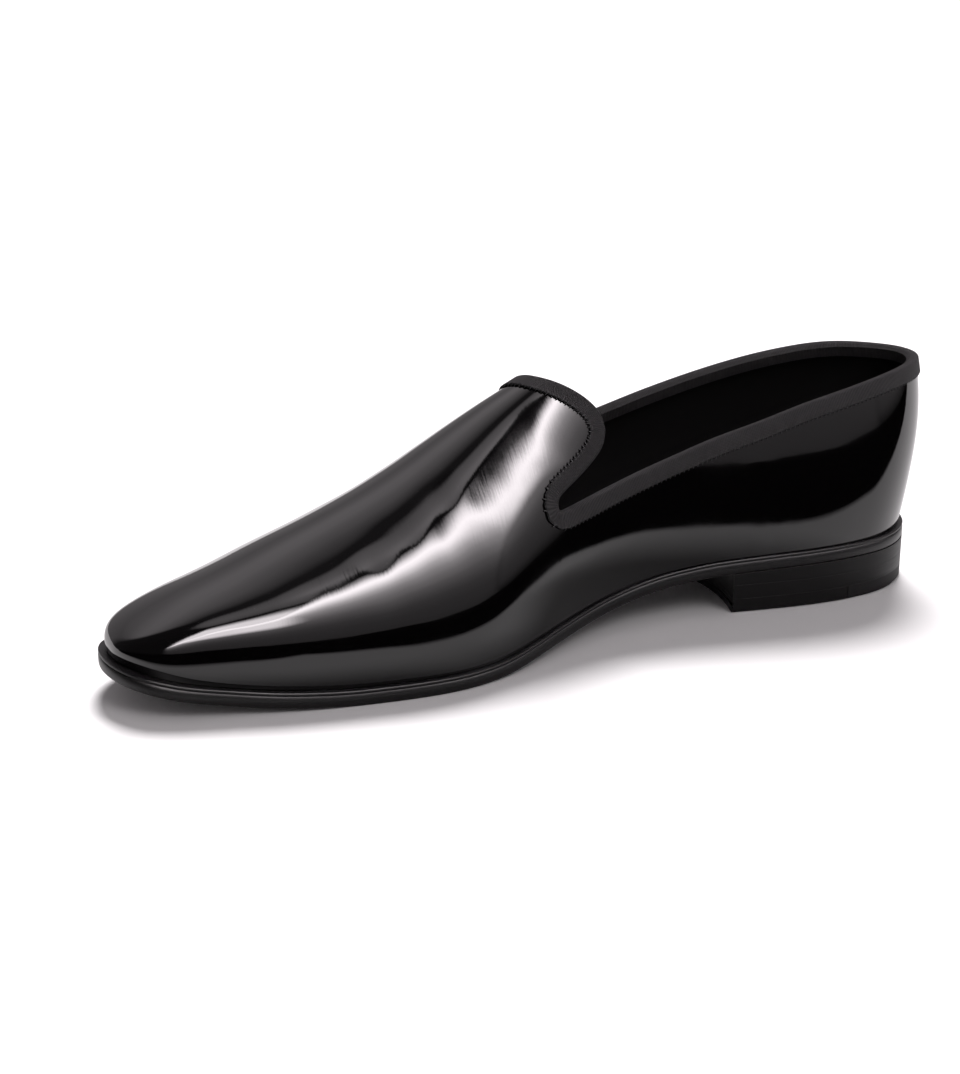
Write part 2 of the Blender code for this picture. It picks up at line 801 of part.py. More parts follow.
def new_rod(name, x, y, low, high, radius, material):
    sides = 16
    points = []
    for z in (low, high):
        for i in range(sides):
            angle = 2.0 * math.pi * i / sides
            points.append((x + radius * math.cos(angle), y + radius * math.sin(angle), z))
    faces = [list(range(sides))[::-1], list(range(sides, 2 * sides))]
    for i in range(sides):
        j = (i + 1) % sides
        faces.append([i, j, j + sides, i + sides])
    return new_object(name, points, faces, material)


def cut_away(body, cutter):
    """Cut one object out of another and drop the cutter."""
    change = body.modifiers.new("cut", "BOOLEAN")
    change.operation = "DIFFERENCE"
    change.solver = "EXACT"
    change.object = cutter
    bpy.context.view_layer.update()
    seen = body.evaluated_get(bpy.context.evaluated_depsgraph_get())
    mesh = bpy.data.meshes.new_from_object(seen)
    body.modifiers.clear()
    body.data = mesh
    bpy.data.objects.remove(cutter, do_unlink=True)


def settle():
    """Move everything so that the origin is the box's bottom centre."""
    low = np.full(3, np.inf)
    high = np.full(3, -np.inf)
    made = [item for item in bpy.data.objects if item.type == "MESH"]
    for item in made:
        place = np.array([tuple(vertex.co) for vertex in item.data.vertices])
        low = np.minimum(low, place.min(axis=0))
        high = np.maximum(high, place.max(axis=0))
    shift = -0.5 * (low + high)
    shift[2] = -low[2]
    for item in made:
        for vertex in item.data.vertices:
            vertex.co = vertex.co + type(vertex.co)(shift)
        item.data.update()


for old in list(bpy.data.objects):
    bpy.data.objects.remove(old, do_unlink=True)

made_of = {name: new_material(name) for name in MATERIALS}
edge_runs = rim_runs()
build_upper(edge_runs, made_of["patent_black"])
build_binding(edge_runs, made_of["grosgrain_black"])
build_outsole(made_of["sole_leather"])
build_insole(made_of["sock_leather"])
build_heel(made_of["sole_edge_leather"], made_of["heel_rubber"], made_of["nail_brass"])
settle()
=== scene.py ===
"""Looks of a black patent slip-on dress pump for the right foot.

Metres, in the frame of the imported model: +X towards the toe, +Y towards
the inner side of the foot, +Z up, and the floor at Z 0.
"""
import math

import bpy
import numpy as np
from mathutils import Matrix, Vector


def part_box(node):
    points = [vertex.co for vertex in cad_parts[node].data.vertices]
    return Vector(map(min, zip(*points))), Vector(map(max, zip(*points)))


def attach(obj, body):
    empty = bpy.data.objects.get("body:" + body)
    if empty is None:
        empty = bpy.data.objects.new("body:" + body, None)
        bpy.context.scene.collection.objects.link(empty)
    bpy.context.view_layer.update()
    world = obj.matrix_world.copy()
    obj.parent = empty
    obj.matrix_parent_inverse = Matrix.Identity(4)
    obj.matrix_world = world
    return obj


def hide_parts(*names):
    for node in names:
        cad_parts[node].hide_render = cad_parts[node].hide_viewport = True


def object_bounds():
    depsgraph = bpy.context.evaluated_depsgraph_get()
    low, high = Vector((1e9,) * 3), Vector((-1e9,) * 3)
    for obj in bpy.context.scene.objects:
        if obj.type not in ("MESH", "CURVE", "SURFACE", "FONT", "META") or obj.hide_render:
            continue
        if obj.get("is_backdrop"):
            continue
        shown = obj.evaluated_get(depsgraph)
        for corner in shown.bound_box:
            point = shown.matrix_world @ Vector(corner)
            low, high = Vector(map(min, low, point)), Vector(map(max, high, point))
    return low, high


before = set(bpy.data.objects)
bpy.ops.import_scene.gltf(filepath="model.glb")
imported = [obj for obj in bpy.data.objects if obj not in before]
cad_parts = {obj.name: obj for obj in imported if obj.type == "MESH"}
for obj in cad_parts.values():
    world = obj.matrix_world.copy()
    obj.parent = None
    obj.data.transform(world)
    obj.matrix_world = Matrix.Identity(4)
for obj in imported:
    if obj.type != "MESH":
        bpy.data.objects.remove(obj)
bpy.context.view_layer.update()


# The camera: hand height, close to the inner side of the shoe, looking
# a little down on it from in front. Its lens is given as on 36 mm film.
PICTURE_HEIGHT = 1074
LENS_PIXELS = 1760.0
FILM = 36.0
CAMERA_PLACE = Vector((0.2561, 0.5083, 0.2073))
CAMERA_HEADING = Vector((-0.3985, -0.8670, -0.2992))

lens = bpy.data.cameras.new("camera")
lens.sensor_width = FILM
lens.lens = LENS_PIXELS / PICTURE_HEIGHT * FILM
lens.clip_start = 0.01
lens.clip_end = 100.0
camera = bpy.data.objects.new("camera", lens)
camera.location = CAMERA_PLACE
camera.rotation_euler = CAMERA_HEADING.to_track_quat("-Z", "Y").to_euler()
bpy.context.scene.collection.objects.link(camera)
bpy.context.scene.camera = camera
bpy.context.scene.view_settings.view_transform = "Standard"
bpy.context.scene.view_settings.look = "None"


# The studio: a plain white table, mirrored in the leather as far as a hand's
# width before the shoe, a long soft lamp arched over the inner side, a soft
# card beyond, and black in between, which patent leather needs to show.
TABLE_SIZE = 40.0
TABLE_EDGE = 0.100
TABLE_EDGE_SOFT = 0.012
TABLE_EDGE_BEND = 0.105
TABLE_EDGE_TURN = 1.0
TABLE_COLOUR = (0.86, 0.86, 0.86, 1.0)
FILL = 0.30
MIRRORED_TABLE = 0.72
BACKDROP = 1.25
NEAR_LAMP_TURN = 97.0
NEAR_LAMP_TOP = 72.0
NEAR_LAMP_DROOP = 0.0215
NEAR_LAMP_FOOT = -13.0
NEAR_LAMP_LIFT = 0.006
NEAR_LAMP_LEAST = 8.0
END_PANEL = 14.0
DARK = 0.04
STUDIO_TINT = (1.0, 0.935, 0.965, 1.0)
LAMP_TINT = (1.0, 0.965, 0.98)
NEAR_LAMP = (
    ("share", "glow"),
    (0.00, 0.00),
    (0.06, 0.20),
    (0.20, 0.32),
    (0.30, 0.38),
    (0.42, 0.55),
    (0.50, 0.85),
    (0.60, 1.40),
    (0.70, 2.50),
    (0.78, 4.20),
    (0.85, 7.50),
    (0.91, 13.0),
    (0.96, 18.5),
    (1.00, 21.0),
    (1.04, 16.0),
    (1.09, 6.0),
    (1.14, 0.0),
)
SIDE_GLOW = (
    ("height", "glow"),
    (0.0, 0.02),
    (4.0, 0.26),
    (10.0, 0.42),
    (15.0, 0.65),
    (19.0, 1.1),
    (24.0, 2.0),
    (29.0, 2.3),
    (35.0, 0.0),
)
FAR_CARD = (
    ("height", "glow"),
    (-6.0, 0.20),
    (10.0, 0.25),
    (22.0, 0.28),
    (30.0, 0.45),
    (40.0, 0.85),
    (47.0, 0.95),
    (58.0, 0.72),
    (66.0, 0.35),
    (70.0, 0.05),
)
TOP_GLOW = (
    ("height", "glow"),
    (76.0, 0.0),
    (79.0, 0.9),
    (85.0, 1.4),
    (90.0, 2.2),
)
# Where each lamp starts and stops, in degrees, and how softly at each end
ARCH_TURN = (50.0, 144.0, 7.0, 7.0)
END_PANEL_TURN = (50.0, 90.0, 8.0, 20.0)
END_PANEL_HEIGHT = (30.0, 76.0, 12.0, 12.0)
SIDE_TURN = (134.0, 174.0, 8.0, 8.0)
FAR_TURN = (-172.0, -56.0, 9.0, 9.0)
TOP_TURN = (-95.0, 88.0, 12.0, 12.0)


def column(table, name):
    index = table[0].index(name)
    return np.array([row[index] for row in table[1:]], float)


def add_node(tree, kind, inputs=(), **settings):
    """New shader node with its settings, values and links in one go."""
    made = tree.nodes.new(kind)
    for name, value in settings.items():
        setattr(made, name, value)
    for socket, value in inputs:
        if isinstance(value, bpy.types.NodeSocket):
            tree.links.new(value, made.inputs[socket])
        else:
            made.inputs[socket].default_value = value
    return made


def figure(tree, operation, *values):
    return add_node(tree, "ShaderNodeMath", enumerate(values), operation=operation).outputs[0]


def spread(tree, value, low, high, start=0.0, end=1.0, **settings):
    """Value from low to high spread out from start to end."""
    inputs = [(0, value), (1, low), (2, high), (3, start), (4, end)]
    return add_node(tree, "ShaderNodeMapRange", inputs, **settings).outputs[0]


def window(tree, value, start, end, rise, fall):
    """One between start and end, nought outside, soft over rise and fall."""
    into = spread(tree, value, start, start + rise, interpolation_type="SMOOTHSTEP")
    out_of = spread(tree, value, end - fall, end, 1.0, 0.0, interpolation_type="SMOOTHSTEP")
    return figure(tree, "MULTIPLY", into, out_of)


def glow_curve(tree, value, table):
    """Brightness read from a table against its first column."""
    places = column(table, table[0][0])
    glows = column(table, "glow")
    share = spread(tree, value, places[0], places[-1])
    curve = add_node(tree, "ShaderNodeFloatCurve", [("Value", share)])
    line = curve.mapping.curves[0]
    shares = (places - places[0]) / (places[-1] - places[0])
    tops = glows / glows.max()
    line.points[0].location = (shares[0], tops[0])
    line.points[1].location = (shares[-1], tops[-1])
    for at, top in list(zip(shares, tops))[1:-1]:
        line.points.new(at, top)
    for point in line.points:
        point.handle_type = "VECTOR"
    curve.mapping.update()
    return figure(tree, "MULTIPLY", curve.outputs[0], float(glows.max()))


world = bpy.data.worlds.new("studio")
world.use_nodes = True
bpy.context.scene.world = world
if hasattr(world, "cycles"):
    world.cycles.sampling_method = "NONE"
sky = world.node_tree
sky.nodes.clear()
towards = add_node(sky, "ShaderNodeTexCoord").outputs["Generated"]
parts = add_node(sky, "ShaderNodeSeparateXYZ", [(0, towards)])
turn = figure(sky, "DEGREES", figure(sky, "ARCTAN2", parts.outputs[1], parts.outputs[0]))
height = figure(sky, "DEGREES", figure(sky, "ARCSINE", parts.outputs[2]))
aside = figure(sky, "SUBTRACT", turn, NEAR_LAMP_TURN)
droop = figure(sky, "MULTIPLY", figure(sky, "MULTIPLY", aside, aside), NEAR_LAMP_DROOP)
lamp_top = figure(sky, "SUBTRACT", NEAR_LAMP_TOP, droop)
lift = figure(sky, "MULTIPLY", figure(sky, "MULTIPLY", aside, aside), NEAR_LAMP_LIFT)
lamp_foot = figure(sky, "ADD", lift, NEAR_LAMP_FOOT)
lamp_span = figure(sky, "MAXIMUM", figure(sky, "SUBTRACT", lamp_top, lamp_foot), NEAR_LAMP_LEAST)
lamp_share = figure(sky, "DIVIDE", figure(sky, "SUBTRACT", height, lamp_foot), lamp_span)
arch = figure(sky, "MULTIPLY", glow_curve(sky, lamp_share, NEAR_LAMP), window(sky, turn, *ARCH_TURN))
side = figure(sky, "MULTIPLY", glow_curve(sky, height, SIDE_GLOW), window(sky, turn, *SIDE_TURN))
far = figure(sky, "MULTIPLY", glow_curve(sky, height, FAR_CARD), window(sky, turn, *FAR_TURN))
top = figure(sky, "MULTIPLY", glow_curve(sky, height, TOP_GLOW), window(sky, turn, *TOP_TURN))
panel = figure(sky, "MULTIPLY", window(sky, turn, *END_PANEL_TURN), window(sky, height, *END_PANEL_HEIGHT))
panel = figure(sky, "MULTIPLY", panel, END_PANEL)
near = figure(sky, "MAXIMUM", figure(sky, "MAXIMUM", arch, side), panel)
mirrored = figure(sky, "ADD", figure(sky, "ADD", near, far), figure(sky, "ADD", top, DARK))
ray = add_node(sky, "ShaderNodeLightPath")
unseen = figure(sky, "SUBTRACT", 1.0, ray.outputs["Is Camera Ray"])
dull = figure(sky, "SUBTRACT", 1.0, ray.outputs["Is Glossy Ray"])
bounced = figure(sky, "ADD", figure(sky, "MULTIPLY", mirrored, ray.outputs["Is Glossy Ray"]),
                 figure(sky, "MULTIPLY", dull, FILL))
seen = figure(sky, "MULTIPLY", ray.outputs["Is Camera Ray"], BACKDROP)
brightness = figure(sky, "ADD", seen, figure(sky, "MULTIPLY", unseen, bounced))
background = add_node(sky, "ShaderNodeBackground", [("Color", STUDIO_TINT), ("Strength", brightness)])
add_node(sky, "ShaderNodeOutputWorld", [(0, background.outputs[0])])

bpy.ops.mesh.primitive_plane_add(size=TABLE_SIZE)
table = bpy.context.object
table.name = "table"
surface = bpy.data.materials.new("table_white")
surface.use_nodes = True
tree = surface.node_tree
tree.nodes.clear()
white = add_node(tree, "ShaderNodeBsdfDiffuse", [("Color", TABLE_COLOUR)])
place = add_node(tree, "ShaderNodeTexCoord").outputs["Object"]
place = add_node(tree, "ShaderNodeSeparateXYZ", [(0, place)])
by_toe = figure(tree, "MAXIMUM", figure(tree, "SUBTRACT", place.outputs[0], TABLE_EDGE_BEND), 0.0)
across = figure(tree, "ADD", place.outputs[1], figure(tree, "MULTIPLY", by_toe, TABLE_EDGE_TURN))
on_table = spread(tree, across, TABLE_EDGE, TABLE_EDGE + TABLE_EDGE_SOFT, 1.0, 0.0)
glossy = add_node(tree, "ShaderNodeLightPath").outputs["Is Glossy Ray"]
kept = figure(tree, "MULTIPLY", on_table, MIRRORED_TABLE)
gone = figure(tree, "MULTIPLY", figure(tree, "SUBTRACT", 1.0, kept), glossy)
nothing = add_node(tree, "ShaderNodeBsdfDiffuse", [("Color", (0.0, 0.0, 0.0, 1.0))])
shown = add_node(tree, "ShaderNodeMixShader", [(0, gone), (1, white.outputs[0]), (2, nothing.outputs[0])])
add_node(tree, "ShaderNodeOutputMaterial", [(0, shown.outputs[0])])
table.data.materials.append(surface)
table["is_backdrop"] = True


def add_lamp(name, turn, height, width, power):
    """Distant soft lamp that shines on the shoe from a turn and a height."""
    light = bpy.data.lights.new(name, "SUN")
    light.angle = math.radians(width)
    light.energy = power
    light.color = LAMP_TINT
    lamp = bpy.data.objects.new(name, light)
    turn = math.radians(turn)
    height = math.radians(height)
    way = Vector((math.cos(turn) * math.cos(height), math.sin(turn) * math.cos(height), math.sin(height)))
    lamp.location = way
    lamp.rotation_euler = (-way).to_track_quat("-Z", "Y").to_euler()
    lamp.visible_camera = False
    lamp.visible_glossy = False
    bpy.context.scene.collection.objects.link(lamp)


add_lamp("key_lamp", -118.0, 54.0, 24.0, 5.0)
add_lamp("front_lamp", 105.0, 48.0, 30.0, 0.5)


# The last: the form that the upper is pulled over. Its outline, rise and
# cross-sections are shares of the shoe's own sizes, and its girth runs
# from 0 at the inner feather line over 3 at the crest to 6 at the outer.
SOLE_LENGTH = 0.302
BALL_WIDTH = 0.097
HEEL_HEIGHT = 0.015
SOLE_THICKNESS = 0.005
TOE_SPRING = 0.010
INSTEP_HEIGHT = 0.086
UPPER_WALL = 0.002
FIT_GAP = 0.0003
TOE_ROUND = 0.032
HEEL_ROUND = 0.034
CREST_ROUND = 0.026
TOE_REACH = 0.030
BACK_REACH = 0.080
NOSE_POWER = 2.6
FULL_GIRTH = 6.0

SOLE_PLAN = (
    ("share", "centre", "half"),
    (0.00, -0.0127, 0.2777),
    (0.06, -0.0167, 0.3215),
    (0.14, -0.0157, 0.3599),
    (0.25, -0.0303, 0.3455),
    (0.38, -0.0396, 0.3094),
    (0.50, -0.0206, 0.3898),
    (0.60, 0.0234, 0.4896),
    (0.68, 0.0700, 0.4898),
    (0.76, 0.1045, 0.4362),
    (0.84, 0.1337, 0.3637),
    (0.92, 0.1544, 0.2836),
    (1.00, 0.1606, 0.2847),
)
SOLE_RISE = (
    ("share", "heel", "spring"),
    (0.00, 1.04, 0.00),
    (0.10, 1.03, 0.00),
    (0.20, 1.00, 0.00),
    (0.29, 0.93, 0.00),
    (0.36, 0.80, 0.00),
    (0.44, 0.57, 0.00),
    (0.53, 0.27, 0.00),
    (0.62, 0.03, 0.00),
    (0.66, 0.00, 0.00),
    (0.76, 0.00, 0.00),
    (0.84, 0.00, 0.13),
    (0.92, 0.00, 0.45),
    (1.00, 0.00, 1.00),
)
SOLE_LEDGE = (
    ("share", "ledge"),
    (0.00, 0.30),
    (0.20, 0.24),
    (0.40, 0.20),
    (0.60, 0.36),
    (0.80, 0.50),
    (1.00, 0.55),
)
LAST_SECTION = (
    ("share", "crest", "offset", "a_side", "a_high", "b_side", "b_high", "c_side", "c_high"),
    (0.00, 1.180, 0.000, 1.05, 0.16, 1.03, 0.46, 0.50, 0.90),
    (0.12, 1.140, 0.000, 1.05, 0.17, 1.02, 0.46, 0.52, 0.90),
    (0.25, 1.100, 0.000, 1.06, 0.18, 0.98, 0.48, 0.52, 0.92),
    (0.38, 1.000, 0.040, 1.10, 0.20, 0.98, 0.52, 0.50, 0.92),
    (0.50, 0.865, 0.050, 1.06, 0.22, 0.92, 0.56, 0.48, 0.90),
    (0.60, 0.740, 0.035, 1.03, 0.24, 0.92, 0.58, 0.48, 0.89),
    (0.70, 0.572, 0.015, 1.03, 0.27, 0.96, 0.61, 0.50, 0.89),
    (0.80, 0.435, 0.000, 1.04, 0.30, 1.00, 0.66, 0.52, 0.91),
    (0.90, 0.280, 0.000, 1.04, 0.34, 1.02, 0.74, 0.54, 0.94),
    (1.00, 0.125, 0.000, 1.03, 0.38, 1.03, 0.82, 0.55, 0.97),
)
BACK_CURVE = (
    ("high", "shift"),
    (0.00, 0.00),
    (0.23, -0.23),
    (0.41, -0.37),
    (0.58, -0.38),
    (0.72, -0.27),
    (0.93, 0.13),
    (1.40, 1.47),
)
TOE_CURVE = (
    ("high", "shift"),
    (0.00, 0.00),
    (0.06, 0.09),
    (0.10, 0.12),
    (0.16, 0.05),
    (0.23, -0.07),
    (0.58, -0.13),
)


def smooth_curve(xs, ys):
    """Natural cubic spline through the points."""
    count = len(xs)
    step = np.diff(xs)
    matrix = np.eye(count)
    right = np.zeros(count)
    for i in range(1, count - 1):
        matrix[i, i - 1] = step[i - 1]
        matrix[i, i] = 2.0 * (step[i - 1] + step[i])
        matrix[i, i + 1] = step[i]
        rise = (ys[i + 1] - ys[i]) / step[i] - (ys[i] - ys[i - 1]) / step[i - 1]
        right[i] = 6.0 * rise
    bend = np.linalg.solve(matrix, right)

    def at(x):
        x = np.asarray(x, float)
        i = np.clip(np.searchsorted(xs, x) - 1, 0, count - 2)
        a = (xs[i + 1] - x) / step[i]
        b = (x - xs[i]) / step[i]
        curve = (a ** 3 - a) * bend[i] + (b ** 3 - b) * bend[i + 1]
        return a * ys[i] + b * ys[i + 1] + curve * step[i] ** 2 / 6.0

    return at


def level_curve(xs, ys):
    """Cubic through the points that never swings past them."""
    step = np.diff(xs)
    slope = np.diff(ys) / step
    tangent = np.zeros(len(xs))
    for i in range(1, len(xs) - 1):
        if slope[i - 1] * slope[i] > 0.0:
            wa = 2.0 * step[i] + step[i - 1]
            wb = step[i] + 2.0 * step[i - 1]
            tangent[i] = (wa + wb) / (wa / slope[i - 1] + wb / slope[i])
    tangent[0] = slope[0]
    tangent[-1] = slope[-1]

    def at(x):
        x = np.asarray(x, float)
        i = np.clip(np.searchsorted(xs, x) - 1, 0, len(xs) - 2)
        t = (x - xs[i]) / step[i]
        value = (2.0 * t ** 3 - 3.0 * t ** 2 + 1.0) * ys[i]
        value = value + (t ** 3 - 2.0 * t ** 2 + t) * step[i] * tangent[i]
        value = value + (3.0 * t ** 2 - 2.0 * t ** 3) * ys[i + 1]
        return value + (t ** 3 - t ** 2) * step[i] * tangent[i + 1]

    return at


def table_curve(table, name, key="share", make=smooth_curve):
    return make(column(table, key), column(table, name))


plan_centre = table_curve(SOLE_PLAN, "centre")
plan_half = table_curve(SOLE_PLAN, "half")
rise_heel = table_curve(SOLE_RISE, "heel", make=level_curve)
rise_toe = table_curve(SOLE_RISE, "spring", make=level_curve)
ledge_share = table_curve(SOLE_LEDGE, "ledge")
section = {name: table_curve(LAST_SECTION, name) for name in LAST_SECTION[0][1:]}
back_shift = table_curve(BACK_CURVE, "shift", key="high")
toe_shift = table_curve(TOE_CURVE, "shift", key="high")


def rounding(distance, reach):
    """Full size away from an end, closing to a round nose at it."""
    q = np.clip(1.0 - distance / reach, 0.0, 1.0)
    return np.sqrt(np.clip(1.0 - q ** NOSE_POWER, 0.0, 1.0))


def centre(x):
    return plan_centre(x / SOLE_LENGTH) * BALL_WIDTH


def ledge(x):
    return ledge_share(x / SOLE_LENGTH) * SOLE_THICKNESS


def half_width(x, margin, heel_margin, toe_margin):
    """Half width of the sole outline, drawn in by the margins."""
    width = plan_half(x / SOLE_LENGTH) * BALL_WIDTH - margin
    toe = SOLE_LENGTH - toe_margin - x
    heel = x - heel_margin
    return width * rounding(toe, TOE_ROUND) * rounding(heel, HEEL_ROUND)


def underside(x):
    share = x / SOLE_LENGTH
    return rise_heel(share) * HEEL_HEIGHT + rise_toe(share) * TOE_SPRING


def blend_weights(t):
    """Weights of nine control points of a clamped cubic, t from 0 to 6."""
    knots = np.array([0, 0, 0, 0, 1, 2, 3, 4, 5, 6, 6, 6, 6], float)
    t = np.clip(np.asarray(t, float), 0.0, FULL_GIRTH - 1e-9)
    weights = [np.where((t >= knots[i]) & (t < knots[i + 1]), 1.0, 0.0) for i in range(12)]
    for degree in (1, 2, 3):
        raised = []
        for i in range(12 - degree):
            value = np.zeros_like(t)
            low = knots[i + degree] - knots[i]
            high = knots[i + degree + 1] - knots[i + 1]
            if low > 0.0:
                value = value + (t - knots[i]) / low * weights[i]
            if high > 0.0:
                value = value + (knots[i + degree + 1] - t) / high * weights[i + 1]
            raised.append(value)
        weights = raised
    return weights


UPPER_BACK = float(ledge(0.0))
UPPER_TOE = SOLE_LENGTH - float(ledge(SOLE_LENGTH))


def last_point(x, girth):
    """Point on the outside of the upper, at x along the shoe."""
    x = np.asarray(x, float)
    girth = np.asarray(girth, float)
    share = x / SOLE_LENGTH
    half = half_width(x, ledge(x), UPPER_BACK, SOLE_LENGTH - UPPER_TOE)
    to_toe = UPPER_TOE - x
    crest = section["crest"](share) * INSTEP_HEIGHT * rounding(to_toe, CREST_ROUND)
    offset = section["offset"](share) * BALL_WIDTH
    sides = [half, half * section["a_side"](share), half * section["b_side"](share)]
    shoulder = half * section["c_side"](share)
    across = sides + [shoulder + offset, offset, offset - shoulder]
    across = across + [-side for side in reversed(sides)]
    rises = [0.0 * crest, crest * section["a_high"](share), crest * section["b_high"](share)]
    shoulder_high = crest * section["c_high"](share)
    top = (6.0 * crest - 2.0 * shoulder_high) / 4.0
    upward = rises + [shoulder_high, top, shoulder_high] + list(reversed(rises))
    weights = blend_weights(girth)
    y = sum(w * v for w, v in zip(weights, across)) + centre(x)
    z = sum(w * v for w, v in zip(weights, upward))
    high = np.clip(z / INSTEP_HEIGHT, 0.0, BACK_CURVE[-1][0])
    near_back = np.clip(1.0 - x / BACK_REACH, 0.0, 1.0)
    near_toe = np.clip(1.0 - to_toe / TOE_REACH, 0.0, 1.0)
    shift = back_shift(high) * near_back ** 2 * (3.0 - 2.0 * near_back)
    toe_high = np.minimum(high, TOE_CURVE[-1][0])
    shift = shift + toe_shift(toe_high) * near_toe ** 2 * (3.0 - 2.0 * near_toe)
    base = underside(x) + SOLE_THICKNESS + FIT_GAP
    return np.stack([x + shift * HEEL_HEIGHT, y, z + base], axis=-1)


def last_frame(x, girth):
    """Point, the two surface directions and the outward normal."""
    step = 1e-5
    here = last_point(x, girth)
    along = (last_point(x + step, girth) - here) / step
    low = np.maximum(girth - step, 0.0)
    high = np.minimum(girth + step, FULL_GIRTH)
    around = (last_point(x, high) - last_point(x, low)) / (high - low)[..., None]
    normal = np.cross(around, along)
    return here, along, around, normal / np.linalg.norm(normal, axis=-1, keepdims=True)


# The shoe's own x starts at the back of the sole, so everything is moved
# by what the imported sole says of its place.
OUTLINE_POINTS = 2001
outline_x = np.linspace(0.0, SOLE_LENGTH, OUTLINE_POINTS)
outline_half = half_width(outline_x, 0.0, 0.0, 0.0)
outline_sides = float((centre(outline_x) + outline_half).max() + (centre(outline_x) - outline_half).min())
sole_low, sole_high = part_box("outsole")
PLACE = np.array([sole_low.x, 0.5 * (sole_low.y + sole_high.y) - 0.5 * outline_sides, 0.0])


# The upper: calf with a thick black lacquer, pulled over the last in one
# piece with low sides and a rounded tab, and lined with thin black kid.
GIRTH_STEP = 0.026
INNER_CORNER = 8
OUTER_CORNER = 19
FRONT_ROWS = 170
TAB_ROWS = 40
TAB_COLUMNS = 64
QUARTER_ROWS = 150
QUARTER_COLUMNS = 26
RIM_POINTS = 800
CORNER_CLOSENESS = 0.7
TAB_CLOSENESS = 1.4
MERGE = 2e-6
INNER_QUARTER = (
    ("share", "girth"),
    (0.0000, 1.275),
    (0.0200, 1.280),
    (0.0500, 1.285),
    (0.1000, 1.262),
    (0.1500, 1.202),
    (0.2000, 1.125),
    (0.2500, 1.030),
    (0.3160, 0.938),
    (0.3660, 0.880),
    (0.4170, 0.855),
    (0.4690, 0.858),
    (0.4950, 0.875),
    (0.5100, 0.893),
    (0.5175, 0.920),
    (0.5207, 0.955),
    (0.5220, 1.000),
)
TAB_EDGE = (
    ("share", "girth"),
    (0.5220, 1.000),
    (0.5207, 1.050),
    (0.5175, 1.085),
    (0.5100, 1.112),
    (0.4930, 1.145),
    (0.4760, 1.190),
    (0.4620, 1.245),
    (0.4520, 1.320),
    (0.4475, 1.430),
    (0.4495, 1.580),
    (0.4580, 1.790),
    (0.4740, 2.100),
    (0.4900, 2.440),
    (0.5030, 2.800),
    (0.5085, 3.150),
    (0.5080, 3.500),
    (0.5010, 3.850),
    (0.4880, 4.180),
    (0.4740, 4.450),
    (0.4690, 4.600),
    (0.4725, 4.715),
    (0.4850, 4.790),
    (0.5000, 4.835),
    (0.5100, 4.858),
    (0.5175, 4.885),
    (0.5207, 4.920),
    (0.5220, 4.970),
)
OUTER_QUARTER = (
    ("share", "girth"),
    (0.0000, 4.725),
    (0.0200, 4.718),
    (0.0500, 4.705),
    (0.1000, 4.718),
    (0.1500, 4.760),
    (0.2000, 4.825),
    (0.2500, 4.890),
    (0.3160, 4.955),
    (0.3660, 4.990),
    (0.4170, 5.020),
    (0.4690, 5.055),
    (0.4950, 5.070),
    (0.5100, 5.068),
    (0.5175, 5.045),
    (0.5207, 5.012),
    (0.5220, 4.970),
)


def rim_run(table, count, pace, start=None, end=None):
    """Points along a table of share and girth, spaced by real length."""
    share = column(table, "share")[start:end]
    girth = column(table, "girth")[start:end]
    rough = np.hypot(np.diff(share) * SOLE_LENGTH, np.diff(girth) * GIRTH_STEP)
    run = np.concatenate([[0.0], np.cumsum(rough)])
    fine = np.linspace(0.0, run[-1], RIM_POINTS)
    xs = np.maximum(smooth_curve(run, share)(fine) * SOLE_LENGTH, UPPER_BACK)
    girths = smooth_curve(run, girth)(fine)
    spots = last_point(xs, girths)
    length = np.concatenate([[0.0], np.cumsum(np.linalg.norm(np.diff(spots, axis=0), axis=1))])
    wanted = pace(np.linspace(0.0, 1.0, count + 1)) * length[-1]
    return np.stack([np.interp(wanted, length, xs), np.interp(wanted, length, girths)], axis=-1)


def even(u):
    return u


def close_at_ends(u):
    return u - CORNER_CLOSENESS * np.sin(2.0 * math.pi * u) / (2.0 * math.pi)


def close_at_start(u):
    return u ** TAB_CLOSENESS


def close_at_finish(u):
    return 1.0 - (1.0 - u) ** TAB_CLOSENESS


inner_rim = rim_run(INNER_QUARTER, QUARTER_ROWS, close_at_ends)
outer_rim = rim_run(OUTER_QUARTER, QUARTER_ROWS, close_at_ends)
tab_inner = rim_run(TAB_EDGE, TAB_ROWS, close_at_start, None, INNER_CORNER + 1)
tab_rear = rim_run(TAB_EDGE, TAB_COLUMNS, even, INNER_CORNER, OUTER_CORNER + 1)
tab_outer = rim_run(TAB_EDGE, TAB_ROWS, close_at_finish, OUTER_CORNER, None)[::-1]


